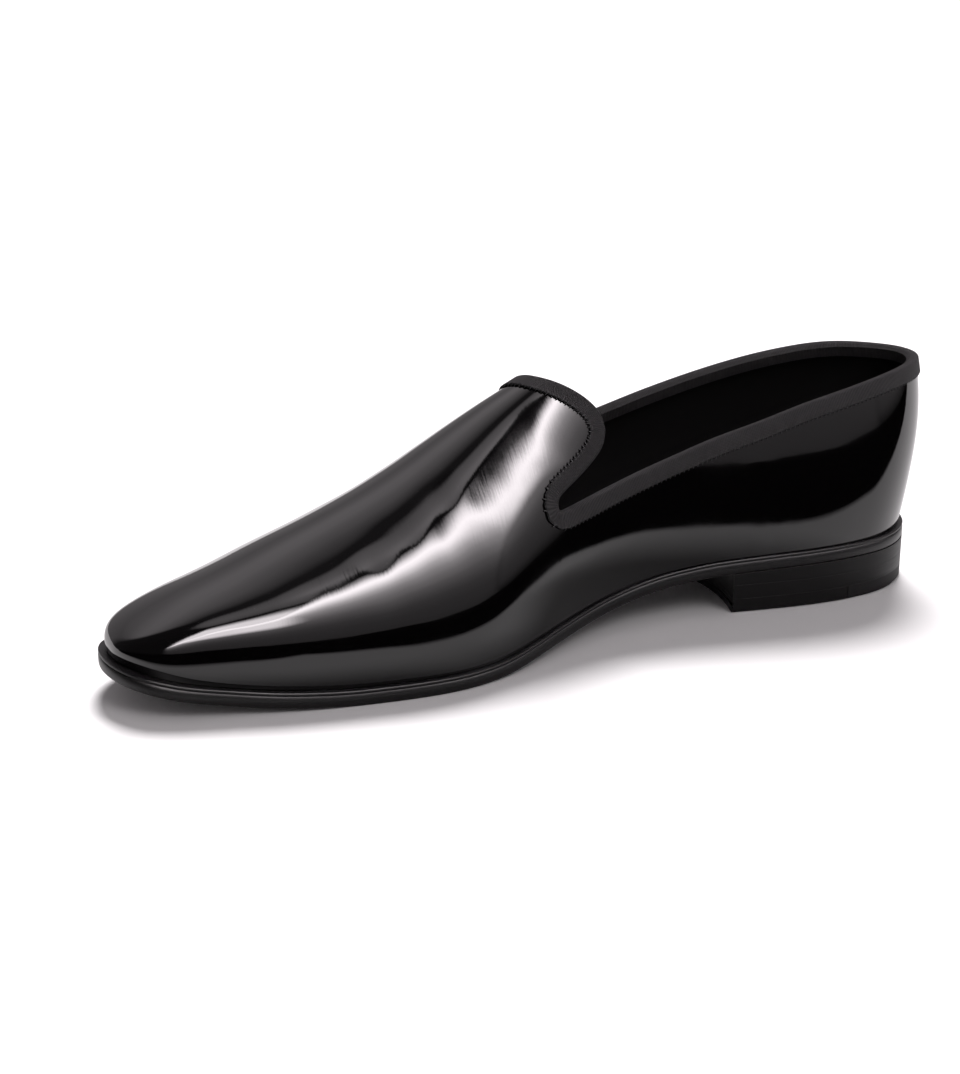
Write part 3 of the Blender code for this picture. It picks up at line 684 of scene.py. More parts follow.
def tab_patch():
    """Share and girth over the tab, from its rear edge to the notches."""
    notch = tab_inner[0, 0]
    u = np.linspace(0.0, 1.0, TAB_ROWS + 1)[:, None]
    v = np.linspace(0.0, 1.0, TAB_COLUMNS + 1)[None, :]
    by_inner = (1.0 - v) ** 4
    by_outer = v ** 4
    inner_way = ((notch - tab_inner[:, 0]) / (notch - tab_inner[-1, 0]))[:, None]
    outer_way = ((notch - tab_outer[:, 0]) / (notch - tab_outer[-1, 0]))[:, None]
    way = inner_way * by_inner + outer_way * by_outer + u * (1.0 - by_inner - by_outer)
    front = (1.0 - v) * tab_inner[0, 1] + v * tab_outer[0, 1]
    sides = (1.0 - v) * tab_inner[:, 1:2] + v * tab_outer[:, 1:2]
    ends = (1.0 - u) * front + u * tab_rear[:, 1][None, :]
    corners = (1.0 - u) * front + u * ((1.0 - v) * tab_rear[0, 1] + v * tab_rear[-1, 1])
    grid = np.zeros((TAB_ROWS + 1, TAB_COLUMNS + 1, 2))
    grid[:, :, 0] = notch + (tab_rear[:, 0][None, :] - notch) * way
    grid[:, :, 1] = sides + ends - corners
    return grid[::-1]


def upper_grids():
    """Grids of x and girth, rows towards the toe, columns over the foot."""
    down = np.linspace(0.0, 1.0, QUARTER_COLUMNS + 1)
    tab = tab_patch()
    notch = tab[-1]
    inner = np.zeros((QUARTER_ROWS + 1, QUARTER_COLUMNS + 1, 2))
    inner[:, :, 0] = inner_rim[:, 0:1]
    inner[:, :, 1] = inner_rim[:, 1:2] * down[None, :]
    outer = np.zeros((QUARTER_ROWS + 1, QUARTER_COLUMNS + 1, 2))
    outer[:, :, 0] = outer_rim[:, 0:1]
    outer[:, :, 1] = FULL_GIRTH - (FULL_GIRTH - outer_rim[:, 1:2]) * down[::-1][None, :]
    girths = np.concatenate([inner[-1, :-1, 1], notch[:, 1], outer[-1, 1:, 1]])
    u = np.linspace(0.0, 1.0, FRONT_ROWS + 1)
    front = np.zeros((FRONT_ROWS + 1, len(girths), 2))
    front[:, :, 0] = (notch[0, 0] + (UPPER_TOE - notch[0, 0]) * np.sin(0.5 * math.pi * u))[:, None]
    front[:, :, 1] = girths[None, :]
    return {"front": front, "tab": tab, "inner": inner, "outer": outer}


# Creases and strains in the leather: where each starts and ends as a
# share of the length and a girth, its width and its depth in metres
CREASES = (
    ("share_a", "girth_a", "share_b", "girth_b", "width", "depth"),
    (0.262, 0.56, 0.244, 0.20, 0.0022, 0.00006),
    (0.252, 0.60, 0.236, 0.34, 0.0016, 0.00006),
    (0.740, 1.60, 0.735, 1.05, 0.0050, 0.00010),
    (0.700, 1.90, 0.690, 1.20, 0.0060, 0.00009),
    (0.655, 2.10, 0.650, 1.30, 0.0060, 0.00008),
    (0.735, 4.95, 0.738, 4.30, 0.0050, 0.00010),
    (0.690, 4.90, 0.698, 4.10, 0.0060, 0.00008),
    (0.245, 5.35, 0.258, 5.80, 0.0011, 0.00015),
)
LIP_SHARE = 0.5
LIP_PLACE = 1.9
NOSE_LEVEL = 0.0005
NOSE_LENGTH = 0.004


def relief(x, girth):
    """Height of the creases and of the lips beside them over the last."""
    rise = np.zeros_like(x)
    for share_a, girth_a, share_b, girth_b, width, depth in CREASES[1:]:
        start = np.array([share_a * SOLE_LENGTH, girth_a * GIRTH_STEP])
        way = np.array([share_b * SOLE_LENGTH, girth_b * GIRTH_STEP]) - start
        spot = np.stack([x, girth * GIRTH_STEP], axis=-1) - start
        t = np.clip((spot @ way) / (way @ way), 0.0, 1.0)
        apart = np.linalg.norm(spot - t[..., None] * way, axis=-1)
        rise = rise - depth * np.exp(-(apart / width) ** 2)
        rise = rise + LIP_SHARE * depth * np.exp(-((apart - LIP_PLACE * width) / width) ** 2)
    return rise


def pick_out(*pieces):
    """Select these pieces alone, with the first of them active."""
    for item in bpy.context.selected_objects:
        item.select_set(False)
    for piece in pieces:
        piece.select_set(True)
    if pieces:
        bpy.context.view_layer.objects.active = pieces[0]


def lay_grid(name, spots, runs=None):
    """A grid of squares whose corners are laid on the given spots.

    Rows and columns of the spots are the grid's own. The runs, if given,
    become the piece's UV map in metres.
    """
    rows, columns = spots.shape[:2]
    pick_out()
    bpy.ops.mesh.primitive_grid_add(x_subdivisions=columns - 1, y_subdivisions=rows - 1, size=1.0)
    made = bpy.context.object
    made.name = name
    made.data.name = name
    made.location = (0.0, 0.0, 0.0)
    made.data.vertices.foreach_set("co", (spots + PLACE).astype(np.float32).ravel())
    if runs is not None:
        while made.data.uv_layers:
            made.data.uv_layers.remove(made.data.uv_layers[0])
        corners = np.zeros(len(made.data.loops), int)
        made.data.loops.foreach_get("vertex_index", corners)
        layer = made.data.uv_layers.new(name="run")
        layer.data.foreach_set("uv", runs.reshape(-1, 2)[corners].astype(np.float32).ravel())
    made.data.update()
    return made


def join(name, made):
    """One piece out of one or more, with the corners that meet merged."""
    pick_out(*made)
    if len(made) > 1:
        bpy.ops.object.join()
    whole = bpy.context.object
    whole.name = name
    whole.data.name = name
    bpy.ops.object.mode_set(mode="EDIT")
    bpy.ops.mesh.select_all(action="SELECT")
    bpy.ops.mesh.remove_doubles(threshold=MERGE)
    bpy.ops.mesh.dissolve_degenerate(threshold=MERGE)
    bpy.ops.object.mode_set(mode="OBJECT")
    return whole


def shade(piece, angle):
    pick_out(piece)
    bpy.ops.object.shade_smooth_by_angle(angle=math.radians(angle))


def turn_out(piece):
    """Make the faces of a closed piece point outwards."""
    pick_out(piece)
    bpy.ops.object.mode_set(mode="EDIT")
    bpy.ops.mesh.select_all(action="SELECT")
    bpy.ops.mesh.normals_make_consistent(inside=False)
    bpy.ops.object.mode_set(mode="OBJECT")


def noise(tree, scale, detail, spot=None):
    """Noise at a spot, which is the piece's own place if none is given."""
    if spot is None:
        spot = add_node(tree, "ShaderNodeTexCoord").outputs["Object"]
    inputs = [("Vector", spot), ("Scale", scale), ("Detail", detail)]
    return add_node(tree, "ShaderNodeTexNoise", inputs).outputs[0]


def raised(tree, height, distance, *below):
    """Normal of a surface raised by a height, over a normal below it."""
    inputs = [("Height", height), ("Distance", distance)] + [("Normal", normal) for normal in below]
    return add_node(tree, "ShaderNodeBump", inputs).outputs[0]


def new_group(name, inputs, output):
    """Shader node group with its sockets, and the values it is given."""
    group = bpy.data.node_groups.new(name, "ShaderNodeTree")
    for socket, kind in inputs:
        group.interface.new_socket(socket, in_out="INPUT", socket_type=kind)
    group.interface.new_socket(output[0], in_out="OUTPUT", socket_type=output[1])
    return group, add_node(group, "NodeGroupInput").outputs


def place_group(tree, group, *values):
    """A shared effect placed in a material with its own values."""
    return add_node(tree, "ShaderNodeGroup", enumerate(values), node_tree=group).outputs[0]


# Soft waves and grain of a dressed skin
leather_surface, given = new_group("leather_surface", [
    ("Wave height", "NodeSocketFloat"),
    ("Grain height", "NodeSocketFloat"),
    ("Grain scale", "NodeSocketFloat"),
], ("Normal", "NodeSocketVector"))
waves = raised(leather_surface, noise(leather_surface, 60.0, 1.0), given["Wave height"])
grain = noise(leather_surface, given["Grain scale"], 3.0)
grained = raised(leather_surface, grain, given["Grain height"], waves)
add_node(leather_surface, "NodeGroupOutput", [(0, grained)])


def new_material(name, colour, roughness, **values):
    """Principled material; values go on the shader's own sockets."""
    material = bpy.data.materials.new(name)
    material.use_nodes = True
    shader = material.node_tree.nodes["Principled BSDF"]
    shader.inputs["Base Color"].default_value = (*colour, 1.0)
    shader.inputs["Roughness"].default_value = roughness
    for socket, value in values.items():
        shader.inputs[socket.replace("_", " ")].default_value = value
    return material, material.node_tree, shader


def feed(shader, **inputs):
    """Run what changes over the surface into the shader."""
    for socket, value in inputs.items():
        shader.id_data.links.new(value, shader.inputs[socket.replace("_", " ")])


PATENT_BLACK = (0.0012, 0.0010, 0.0012)
LINING_BLACK = (0.0010, 0.0009, 0.0010)

patent, tree, shader = new_material("patent_leather", PATENT_BLACK, 0.07,
                                    Coat_Weight=0.2, Coat_Roughness=0.02)
skin = place_group(tree, leather_surface, 0.00010, 0.0000022, 900.0)
run = add_node(tree, "ShaderNodeUVMap", uv_map="run").outputs[0]
drawn = add_node(tree, "ShaderNodeMapping", [("Vector", run), ("Scale", (1500.0, 110.0, 1.0))]).outputs[0]
hairs = raised(tree, noise(tree, 1.0, 2.0, drawn), 0.0000055, skin)
feed(shader, Normal=hairs, Roughness=spread(tree, noise(tree, 38.0, 4.0), 0.45, 0.75, 0.055, 0.12))

lining, tree, shader = new_material("kid_lining", LINING_BLACK, 0.6, Specular_IOR_Level=0.12)
feed(shader, Normal=place_group(tree, leather_surface, 0.0001, 0.00002, 1400.0))

blocks = []
for name, grid in upper_grids().items():
    xs = grid[:, :, 0]
    girths = grid[:, :, 1]
    normal = last_frame(np.minimum(xs, UPPER_TOE - NOSE_LEVEL), girths)[3]
    rise = relief(xs, girths) * (xs < UPPER_TOE - NOSE_LENGTH)
    spots = last_point(xs, girths) + normal * rise[..., None]
    blocks.append(lay_grid(name, spots, np.stack([xs, girths * GIRTH_STEP], axis=-1)))
upper = join("upper_patent", blocks)
wall = upper.modifiers.new("wall", "SOLIDIFY")
wall.thickness = UPPER_WALL
wall.offset = -1.0
wall.material_offset = 1
wall.material_offset_rim = 1
upper.data.materials.append(patent)
upper.data.materials.append(lining)
bpy.ops.object.modifier_apply(modifier="wall")
shade(upper, 50.0)
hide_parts("upper")
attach(upper, "root")


# The binding: black ribbed ribbon folded over the raw edge, with the
# woven edge whipped down to the leather. It draws together at the notches.
BINDING_WIDTH = 0.005
BINDING_INSIDE = 0.004
BINDING_THICKNESS = 0.0006
BINDING_STATIONS = 1320
BINDING_EDGE_DROP = 0.45
STITCH_PITCH = 0.0018
SCALLOP = 0.00020
RIB_PITCH = 0.00062
WARP_PITCH = 0.00028
RIBBON_BLACK = (0.012, 0.011, 0.012)
# Painted shade in the hollows between the ribs and painted light on their crowns
RIBBON_SHADED_HOLLOW = (0.007, 0.0065, 0.007, 1.0)
RIBBON_LIT_CROWN = (0.020, 0.019, 0.020, 1.0)


def mix_colours(tree, share, first, second):
    """Colour between two, by a share that changes over the surface."""
    inputs = [(0, share), (6, first), (7, second)]
    return add_node(tree, "ShaderNodeMix", inputs, data_type="RGBA").outputs[2]


def rim_loop(count):
    """The whole cut edge as an even closed run of x and girth."""
    tab = [tab_inner[:-1], tab_rear[:-1], tab_outer[::-1]]
    rim = np.concatenate([inner_rim[:-1]] + tab + [outer_rim[::-1][1:]])
    spots = last_point(rim[:, 0], rim[:, 1])
    length = np.concatenate([[0.0], np.cumsum(np.linalg.norm(np.diff(spots, axis=0), axis=1))])
    closed = length[-1]
    wanted = np.linspace(0.0, closed, count, endpoint=False)
    return np.interp(wanted, length, rim[:, 0]), np.interp(wanted, length, rim[:, 1]), wanted, closed


def walk(x, girth, heading, length):
    """Points reached by going lengths over the last from points."""
    steps = 4
    for _ in range(steps):
        here, along, around, normal = last_frame(x, girth)
        heading = heading - normal * (heading * normal).sum(-1, keepdims=True)
        heading = heading / np.linalg.norm(heading, axis=-1, keepdims=True)
        aa = (along * along).sum(-1)
        bb = (around * around).sum(-1)
        ab = (along * around).sum(-1)
        ah = (along * heading).sum(-1) * length / steps
        bh = (around * heading).sum(-1) * length / steps
        flat = aa * bb - ab * ab
        x = np.clip(x + (ah * bb - bh * ab) / flat, UPPER_BACK, UPPER_TOE)
        girth = girth + (bh * aa - ah * ab) / flat
    here, _, _, normal = last_frame(x, girth)
    return here, normal


rim_x, rim_girth, rim_length, rim_total = rim_loop(BINDING_STATIONS)
rim_here, _, _, rim_normal = last_frame(rim_x, rim_girth)
rim_tangent = np.roll(rim_here, -1, axis=0) - np.roll(rim_here, 1, axis=0)
rim_tangent = rim_tangent / np.linalg.norm(rim_tangent, axis=1)[:, None]
rim_into = np.cross(rim_normal, rim_tangent)
rim_into = rim_into / np.linalg.norm(rim_into, axis=1)[:, None]
stitches = int(round(rim_total / STITCH_PITCH))
stitch_phase = rim_length / rim_total * stitches * 2.0 * math.pi


def binding_spots():
    """Rings of the folded ribbon, one at each station of the rim."""
    clear = FIT_GAP
    thick = FIT_GAP + BINDING_THICKNESS
    slack = 2.0 * FIT_GAP
    edge = BINDING_WIDTH + SCALLOP * np.cos(stitch_phase)
    outer = []
    for share in (1.0, 0.97, 0.8, 0.6, 0.4, 0.2):
        spot, normal = walk(rim_x, rim_girth, rim_into, edge * share)
        crown = thick - (BINDING_EDGE_DROP * BINDING_THICKNESS if share == 1.0 else 0.0)
        outer.append(spot + normal * crown)
    ring = list(outer)
    ring.append(rim_here + rim_normal * thick)
    heart = rim_here - rim_normal * 0.5 * UPPER_WALL
    half = 0.5 * UPPER_WALL + thick
    for turn in (25.0, 50.0, 75.0, 105.0, 130.0, 155.0):
        angle = math.radians(turn)
        ring.append(heart + rim_normal * half * math.cos(angle) - rim_into * thick * math.sin(angle))
    ring.append(rim_here - rim_normal * (UPPER_WALL + thick + slack))
    for share in (0.5, 1.0):
        deep, deep_normal = walk(rim_x, rim_girth, rim_into, BINDING_INSIDE * share)
        ring.append(deep - deep_normal * (UPPER_WALL + thick + slack))
    ring.append(deep - deep_normal * (UPPER_WALL + clear + slack))
    ring.append(rim_here - rim_normal * (UPPER_WALL + clear + slack) - rim_into * clear)
    ring.append(rim_here + rim_normal * clear - rim_into * clear)
    middle, middle_normal = walk(rim_x, rim_girth, rim_into, 0.5 * BINDING_WIDTH)
    ring.append(middle + middle_normal * clear)
    spot, normal = walk(rim_x, rim_girth, rim_into, edge)
    ring.append(spot + normal * clear)
    ring.append(outer[0])
    return np.stack(ring, axis=1)


spots = binding_spots()
spots = np.concatenate([spots, spots[:1]])
run_along = np.concatenate([rim_length, [rim_total]])
step_across = np.linalg.norm(np.diff(spots, axis=1), axis=2)
run_across = np.concatenate([np.zeros((len(spots), 1)), np.cumsum(step_across, axis=1)], axis=1)
runs = np.stack([np.broadcast_to(run_along[:, None], run_across.shape), run_across], axis=-1)
binding = join("ribbon_binding", [lay_grid("ribbon_binding", spots, runs)])
turn_out(binding)
shade(binding, 60.0)

ribbon, tree, shader = new_material("grosgrain", RIBBON_BLACK, 0.62, Specular_IOR_Level=0.25)
run = add_node(tree, "ShaderNodeUVMap", uv_map="run").outputs[0]
parts = add_node(tree, "ShaderNodeSeparateXYZ", [(0, run)])
rib = figure(tree, "MULTIPLY", parts.outputs[0], 2.0 * math.pi / RIB_PITCH)
wave = figure(tree, "SINE", rib)
threads = figure(tree, "SINE", figure(tree, "MULTIPLY", parts.outputs[1], 2.0 * math.pi / WARP_PITCH))
weave = figure(tree, "ADD", wave, figure(tree, "MULTIPLY", threads, 0.25))
# Colour follows the ribs, darker in their hollows and lighter on their crowns, which is painted shade and
# painted light; the noise on top is random tone of the thread
rib_shade_and_tone = figure(tree, "ADD", figure(tree, "MULTIPLY", wave, 0.16), noise(tree, 1500.0, 2.0))
feed(shader, Normal=raised(tree, weave, 0.00007),
     Base_Color=mix_colours(tree, rib_shade_and_tone, RIBBON_SHADED_HOLLOW, RIBBON_LIT_CROWN))
binding.data.materials.append(ribbon)
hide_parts("topline_binding")
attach(binding, "root")


# The whipping: one waxed black thread that holds the ribbon's edge, seen
# as a short slanted stitch at each turn.
STITCH_INSIDE = 0.0010
STITCH_OUTSIDE = 0.00075
STITCH_SLANT = 0.0007
STITCH_ARCH = 0.00012
STITCH_SUNK = 0.0001
THREAD_RADIUS = 0.00022
THREAD_SIDES = 6
THREAD_BLACK = (0.004, 0.004, 0.0043)

stitch_run = (np.arange(stitches) + 0.5) / stitches * rim_total
stitch_x = np.interp(stitch_run, rim_length, rim_x)
stitch_girth = np.interp(stitch_run, rim_length, rim_girth)
pick = np.searchsorted(rim_length, stitch_run) % BINDING_STATIONS
stitch_into = rim_into[pick]
stitch_along = rim_tangent[pick]
thread_line = []
for share in (0.0, 0.25, 0.5, 0.75, 1.0):
    reach = BINDING_WIDTH - STITCH_INSIDE + (STITCH_INSIDE + STITCH_OUTSIDE) * share
    spot, normal = walk(stitch_x, stitch_girth, stitch_into, reach)
    lift = FIT_GAP + BINDING_THICKNESS * (1.0 - share) - STITCH_SUNK
    lift = lift + STITCH_ARCH * math.sin(math.pi * share)
    thread_line.append(spot + normal * lift + stitch_along * STITCH_SLANT * (share - 0.5))
thread_line = np.stack(thread_line, axis=1)
_, thread_out = walk(stitch_x, stitch_girth, stitch_into, BINDING_WIDTH)
thread_way = thread_line[:, -1] - thread_line[:, 0]
thread_way = thread_way / np.linalg.norm(thread_way, axis=1)[:, None]
thread_side = np.cross(thread_way, thread_out)
rings = []
for index, swell in enumerate((0.45, 1.0, 1.1, 1.0, 0.45)):
    ring = []
    for corner in range(THREAD_SIDES + 1):
        angle = 2.0 * math.pi * corner / THREAD_SIDES
        ring.append(thread_line[:, index] + THREAD_RADIUS * swell
                    * (thread_side * math.cos(angle) + thread_out * math.sin(angle)))
    rings.append(np.stack(ring, axis=1))
rings = [np.broadcast_to(thread_line[:, 0][:, None], rings[0].shape)] + rings
rings = rings + [np.broadcast_to(thread_line[:, -1][:, None], rings[0].shape)]
whole = np.stack(rings, axis=1)
stitch_pieces = [lay_grid("stitch", each) for each in whole]
whipping = join("whip_stitches", stitch_pieces)
turn_out(whipping)
shade(whipping, 70.0)
thread, tree, shader = new_material("waxed_thread", THREAD_BLACK, 0.45)
feed(shader, Normal=raised(tree, noise(tree, 4000.0, 2.0), 0.00003))
whipping.data.materials.append(thread)
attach(whipping, "root")


# The sole: one thin bend of leather, its edge blacked and burnished with a
# fine bead at the top, and its underside painted black and polished.
SOLE_ROWS = 200
SOLE_ACROSS = 28
EDGE_BLACK = (0.0040, 0.0037, 0.0040, 1.0)
PAINT_DARK = (0.030, 0.027, 0.029, 1.0)
PAINT_LIGHT = (0.046, 0.042, 0.044, 1.0)


def flatten(row, height):
    """A ring brought to one height, to close an end."""
    closed = row.copy()
    closed[0, :, 2] = height
    return closed


def slab(name, levels, rows, start, end, across, breast=0.0):
    """Closed piece between the outline's two sides.

    Each level is a margin and a height rule, from the bottom up the edge.
    The far end runs out in the round nose, or stops at the breast.
    """
    whole = end is None
    u = np.arange(rows + 1) / rows
    columns = []

    def level_line(margin, height, v, scoop):
        first = margin if start is None else start
        last = SOLE_LENGTH - margin if whole else end
        if whole:
            x = first + (last - first) * 0.5 * (1.0 - np.cos(math.pi * u))
        elif start is None:
            x = first + (last - first) * (1.0 - np.cos(0.5 * math.pi * u))
        else:
            x = first + (last - first) * u
        half = half_width(x, margin, margin, margin)
        middle = centre(x)
        hollow = x - scoop * u ** 3 * (1.0 - v * v)
        return np.stack([hollow, middle + half * v, height(hollow) + 0.0 * x], axis=-1)

    low = levels[0]
    high = levels[-1]
    for margin, height in levels:
        columns.append(level_line(margin, height, 1.0, 0.0))
    for step in range(1, across):
        columns.append(level_line(*high, 1.0 - 2.0 * step / across, breast))
    for margin, height in reversed(levels):
        columns.append(level_line(margin, height, -1.0, 0.0))
    for step in range(1, across + 1):
        columns.append(level_line(*low, -1.0 + 2.0 * step / across, breast))
    spots = np.stack(columns, axis=1)
    caps = [spots]
    middle_height = 0.5 * (spots[:, :, 2].max(axis=1) + spots[:, :, 2].min(axis=1))
    if not whole:
        caps.append(flatten(spots[-1:], middle_height[-1]))
    if start is not None:
        caps.insert(0, flatten(spots[:1], middle_height[0]))
    return join(name, [lay_grid(name, np.concatenate(caps))])


def flat(height):
    return lambda x: height


def along_sole(height):
    return lambda x: underside(x) + height


SOLE_EDGE = [
    (0.0006, along_sole(0.0)),
    (0.0002, along_sole(0.0002)),
    (0.00005, along_sole(0.0006)),
    (0.0, along_sole(0.0018)),
    (0.0, along_sole(0.0030)),
    (0.00025, along_sole(0.0036)),
    (0.00040, along_sole(0.0038)),
    (0.00020, along_sole(0.0041)),
    (0.00005, along_sole(0.0045)),
    (0.00020, along_sole(0.0049)),
    (0.0006, along_sole(0.0050)),
]
outsole = slab("outsole_leather", SOLE_EDGE, SOLE_ROWS, None, None, SOLE_ACROSS)
turn_out(outsole)
shade(outsole, 60.0)

# One colour on the sides of a piece and another on its underside
painted_under, given = new_group("painted_under", [
    ("Side", "NodeSocketColor"),
    ("Under", "NodeSocketColor"),
], ("Color", "NodeSocketColor"))
facing = add_node(painted_under, "ShaderNodeNewGeometry").outputs["Normal"]
upward = add_node(painted_under, "ShaderNodeSeparateXYZ", [(0, facing)]).outputs[2]
underneath = spread(painted_under, figure(painted_under, "MULTIPLY", upward, -1.0), 0.55, 0.85)
coloured = mix_colours(painted_under, underneath, given["Side"], given["Under"])
add_node(painted_under, "NodeGroupOutput", [(0, coloured)])

sole_paint, tree, shader = new_material("sole_leather", PAINT_DARK[:3], 0.36, Specular_IOR_Level=0.35)
cloud = noise(tree, 22.0, 5.0)
paint = mix_colours(tree, cloud, PAINT_DARK, PAINT_LIGHT)
feed(shader, Base_Color=place_group(tree, painted_under, EDGE_BLACK, paint),
     Normal=place_group(tree, leather_surface, 0.00012, 0.000012, 700.0),
     Roughness=spread(tree, cloud, 0.35, 0.7, 0.28, 0.45))
outsole.data.materials.append(sole_paint)
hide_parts("outsole")
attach(outsole, "root")


# The sock: thin black leather, cut to the inside of the upper and glued
# down over the insole board, which is a little hollow across.
INSOLE_THICKNESS = 0.0025
INSOLE_TOE_SPACE = 0.004
SOCK_HOLLOW = 0.0006
SOCK_ROWS = 160
SOCK_ACROSS = 24
SOCK_BLACK = (0.0016, 0.0015, 0.0016)
sock_first = UPPER_BACK + UPPER_WALL + 2.0 * FIT_GAP
sock_last = UPPER_TOE - UPPER_WALL - INSOLE_TOE_SPACE
u = np.linspace(0.0, 1.0, SOCK_ROWS + 1)
sock_x = sock_first + (sock_last - sock_first) * 0.5 * (1.0 - np.cos(math.pi * u))
sock_margin = ledge(sock_x) + UPPER_WALL + 2.0 * FIT_GAP
sock_half = half_width(sock_x, sock_margin, sock_first, SOLE_LENGTH - sock_last)
sock_base = underside(sock_x) + SOLE_THICKNESS + FIT_GAP
top_side = []
low_side = []
for v in np.linspace(1.0, -1.0, SOCK_ACROSS + 1):
    side = centre(sock_x) + sock_half * v
    top = sock_base + INSOLE_THICKNESS - SOCK_HOLLOW * (1.0 - v * v)
    top_side.append(np.stack([sock_x, side, top], axis=-1))
    low_side.append(np.stack([sock_x, side, sock_base], axis=-1))
top_side = np.stack(top_side, axis=1)
low_side = np.stack(low_side[::-1], axis=1)
sock = join("sock", [lay_grid("sock", np.concatenate([top_side, low_side, top_side[:, :1]], axis=1))])
turn_out(sock)
shade(sock, 40.0)
sock_leather, tree, shader = new_material("sock_leather", SOCK_BLACK, 0.55, Specular_IOR_Level=0.15)
feed(shader, Normal=place_group(tree, leather_surface, 0.0001, 0.00002, 1200.0))
sock.data.materials.append(sock_leather)
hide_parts("insole")
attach(sock, "root")


# The heel: leather lifts stacked under the sole, pasted, nailed and then
# trimmed, blacked and burnished together, so the joints are fine lines.
HEEL_LENGTH = 0.086
BREAST_DEPTH = 0.0066
LIFT_COUNT = 3
LIFT_SEAM = 0.0415
JOINT = 0.00002
LIFT_BEVEL = 0.00002
HEEL_ROWS = 90
HEEL_ACROSS = 16
LIFT_BLACK = (0.0030, 0.0028, 0.0030, 1.0)
LIFT_PAINT = (0.038, 0.034, 0.037, 1.0)
LIFT_HEIGHT = HEEL_HEIGHT / LIFT_COUNT
burnished, tree, shader = new_material("lift_leather", LIFT_BLACK[:3], 0.42, Specular_IOR_Level=0.2)
spot = add_node(tree, "ShaderNodeTexCoord").outputs["Object"]
stretch = add_node(tree, "ShaderNodeMapping", [("Vector", spot), ("Scale", (60.0, 60.0, 2600.0))]).outputs[0]
layers = noise(tree, 1.0, 3.0, stretch)
feed(shader, Base_Color=place_group(tree, painted_under, LIFT_BLACK, LIFT_PAINT),
     Normal=raised(tree, layers, 0.000003), Roughness=spread(tree, layers, 0.3, 0.7, 0.36, 0.46))

for index, node in enumerate(("heel_lift_upper", "heel_lift_lower")):
    low = HEEL_HEIGHT - (index + 1) * LIFT_HEIGHT
    rise = flat(low + LIFT_HEIGHT - JOINT)
    shoulder = flat(low + LIFT_HEIGHT - JOINT - LIFT_BEVEL)
    if index == 0:
        rise = along_sole(-JOINT)
        shoulder = along_sole(-JOINT - LIFT_BEVEL)
    levels = [
        (LIFT_BEVEL, flat(low)),
        (0.0, flat(low + LIFT_BEVEL)),
        (0.0, shoulder),
        (LIFT_BEVEL, rise),
    ]
    layer = slab(node + "_leather", levels, HEEL_ROWS, None, HEEL_LENGTH, HEEL_ACROSS, BREAST_DEPTH)
    turn_out(layer)
    shade(layer, 30.0)
    layer.data.materials.append(burnished)
    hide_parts(node)
    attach(layer, "root")


# The top lift: leather in front and rubber behind, butted at a straight
# seam, with brass nails driven through the leather half.
NAILS = (
    ("along", "across"),
    (0.863, 0.80),
    (0.575, 0.78),
    (0.863, -0.76),
    (0.575, -0.78),
)
NAIL_RADIUS = 0.0009
NAIL_LENGTH = 0.003
NAIL_RECESS = 0.0001
NAIL_BEVEL = 0.0002
NAIL_SIDES = 32
NAIL_BRASS = (0.62, 0.38, 0.17)
REAR_ROWS = 80
FRONT_LIFT_ROWS = 60
TOP_ACROSS = 20
RUBBER_SIDE = (0.0040, 0.0037, 0.0040, 1.0)
RUBBER_UNDER = (0.036, 0.033, 0.035, 1.0)
TOP_EDGE = [
    (0.0012, flat(0.0)),
    (0.0004, flat(0.00025)),
    (0.0, flat(0.0009)),
    (0.0, flat(LIFT_HEIGHT - JOINT - LIFT_BEVEL)),
    (LIFT_BEVEL, flat(LIFT_HEIGHT - JOINT)),
]

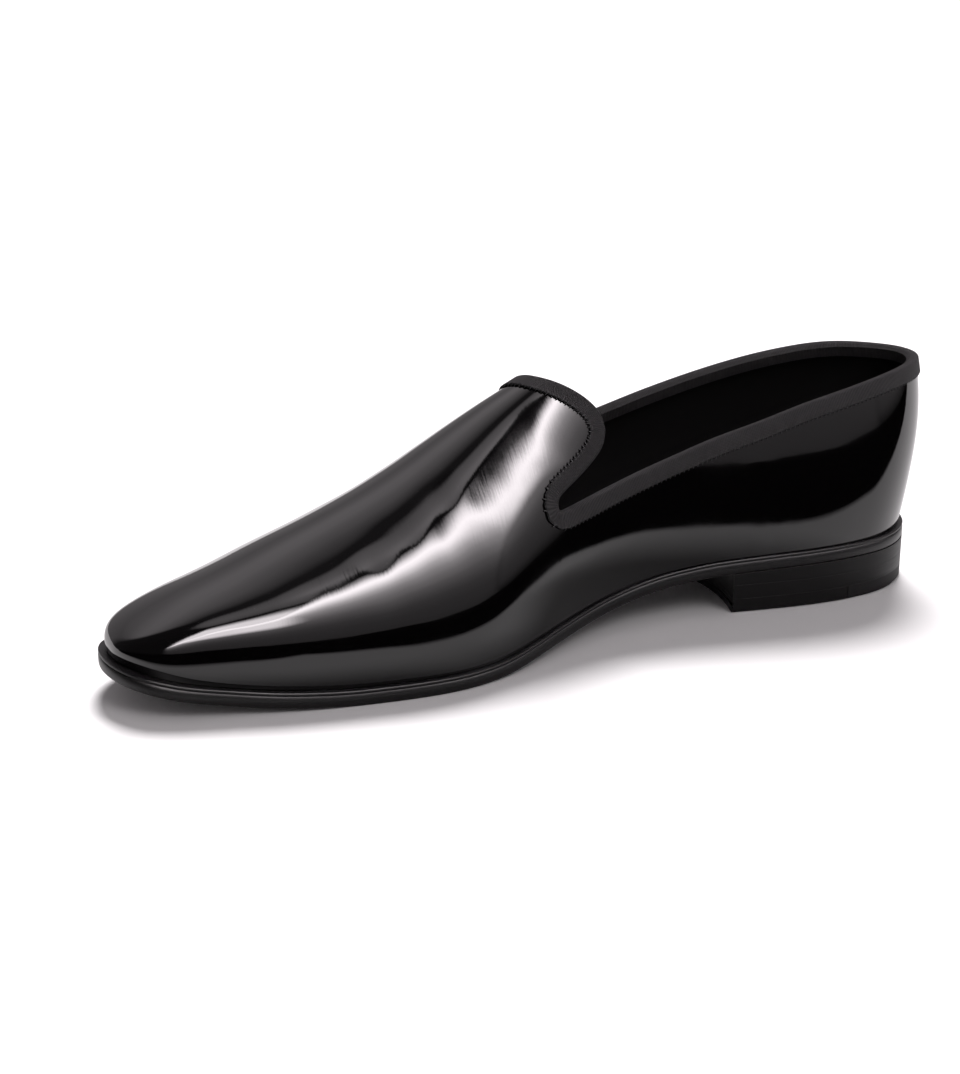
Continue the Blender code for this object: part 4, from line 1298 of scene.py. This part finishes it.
rear = slab("top_lift_rubber_part", TOP_EDGE, REAR_ROWS, None, LIFT_SEAM - FIT_GAP, TOP_ACROSS)
turn_out(rear)
shade(rear, 30.0)
rubber, tree, shader = new_material("heel_rubber", RUBBER_SIDE[:3], 0.58, Specular_IOR_Level=0.2)
feed(shader, Base_Color=place_group(tree, painted_under, RUBBER_SIDE, RUBBER_UNDER),
     Normal=raised(tree, noise(tree, 2200.0, 2.0), 0.00003))
rear.data.materials.append(rubber)
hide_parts("top_lift_rubber")
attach(rear, "root")

front_lift = slab("top_lift_leather_part", TOP_EDGE, FRONT_LIFT_ROWS, LIFT_SEAM, HEEL_LENGTH,
                  TOP_ACROSS, BREAST_DEPTH)
turn_out(front_lift)
front_lift.data.materials.append(burnished)
brass, tree, shader = new_material("nail_brass", NAIL_BRASS, 0.30, Metallic=1.0)
feed(shader, Roughness=spread(tree, noise(tree, 1800.0, 3.0), 0.0, 1.0, 0.22, 0.55))
for index, (along, across_share) in enumerate(NAILS[1:]):
    x = along * HEEL_LENGTH
    y = float(centre(x) + half_width(x, 0.0, 0.0, 0.0) * across_share)
    reach = NAIL_RECESS + NAIL_LENGTH + FIT_GAP
    pick_out()
    bpy.ops.mesh.primitive_cylinder_add(vertices=NAIL_SIDES, radius=NAIL_RADIUS + FIT_GAP, depth=2.0 * reach,
                                        location=(x + PLACE[0], y + PLACE[1], 0.0))
    hole = bpy.context.object
    cut = front_lift.modifiers.new("cut", "BOOLEAN")
    cut.operation = "DIFFERENCE"
    cut.solver = "EXACT"
    cut.object = hole
    bpy.context.view_layer.objects.active = front_lift
    bpy.ops.object.modifier_apply(modifier="cut")
    bpy.data.objects.remove(hole, do_unlink=True)
    middle = NAIL_RECESS + 0.5 * NAIL_LENGTH
    bpy.ops.mesh.primitive_cylinder_add(vertices=NAIL_SIDES, radius=NAIL_RADIUS, depth=NAIL_LENGTH,
                                        location=(x + PLACE[0], y + PLACE[1], middle))
    nail = bpy.context.object
    nail.name = "nail_%d" % (index + 1)
    bpy.ops.object.transform_apply(location=True, rotation=True, scale=True)
    soft = nail.modifiers.new("soft", "BEVEL")
    soft.width = NAIL_BEVEL
    soft.segments = 3
    bpy.ops.object.modifier_apply(modifier="soft")
    shade(nail, 40.0)
    nail.data.materials.append(brass)
    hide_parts("heel_nail_%d" % (index + 1))
    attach(nail, "root")
shade(front_lift, 30.0)
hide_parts("top_lift_leather")
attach(front_lift, "root")


low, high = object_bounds()
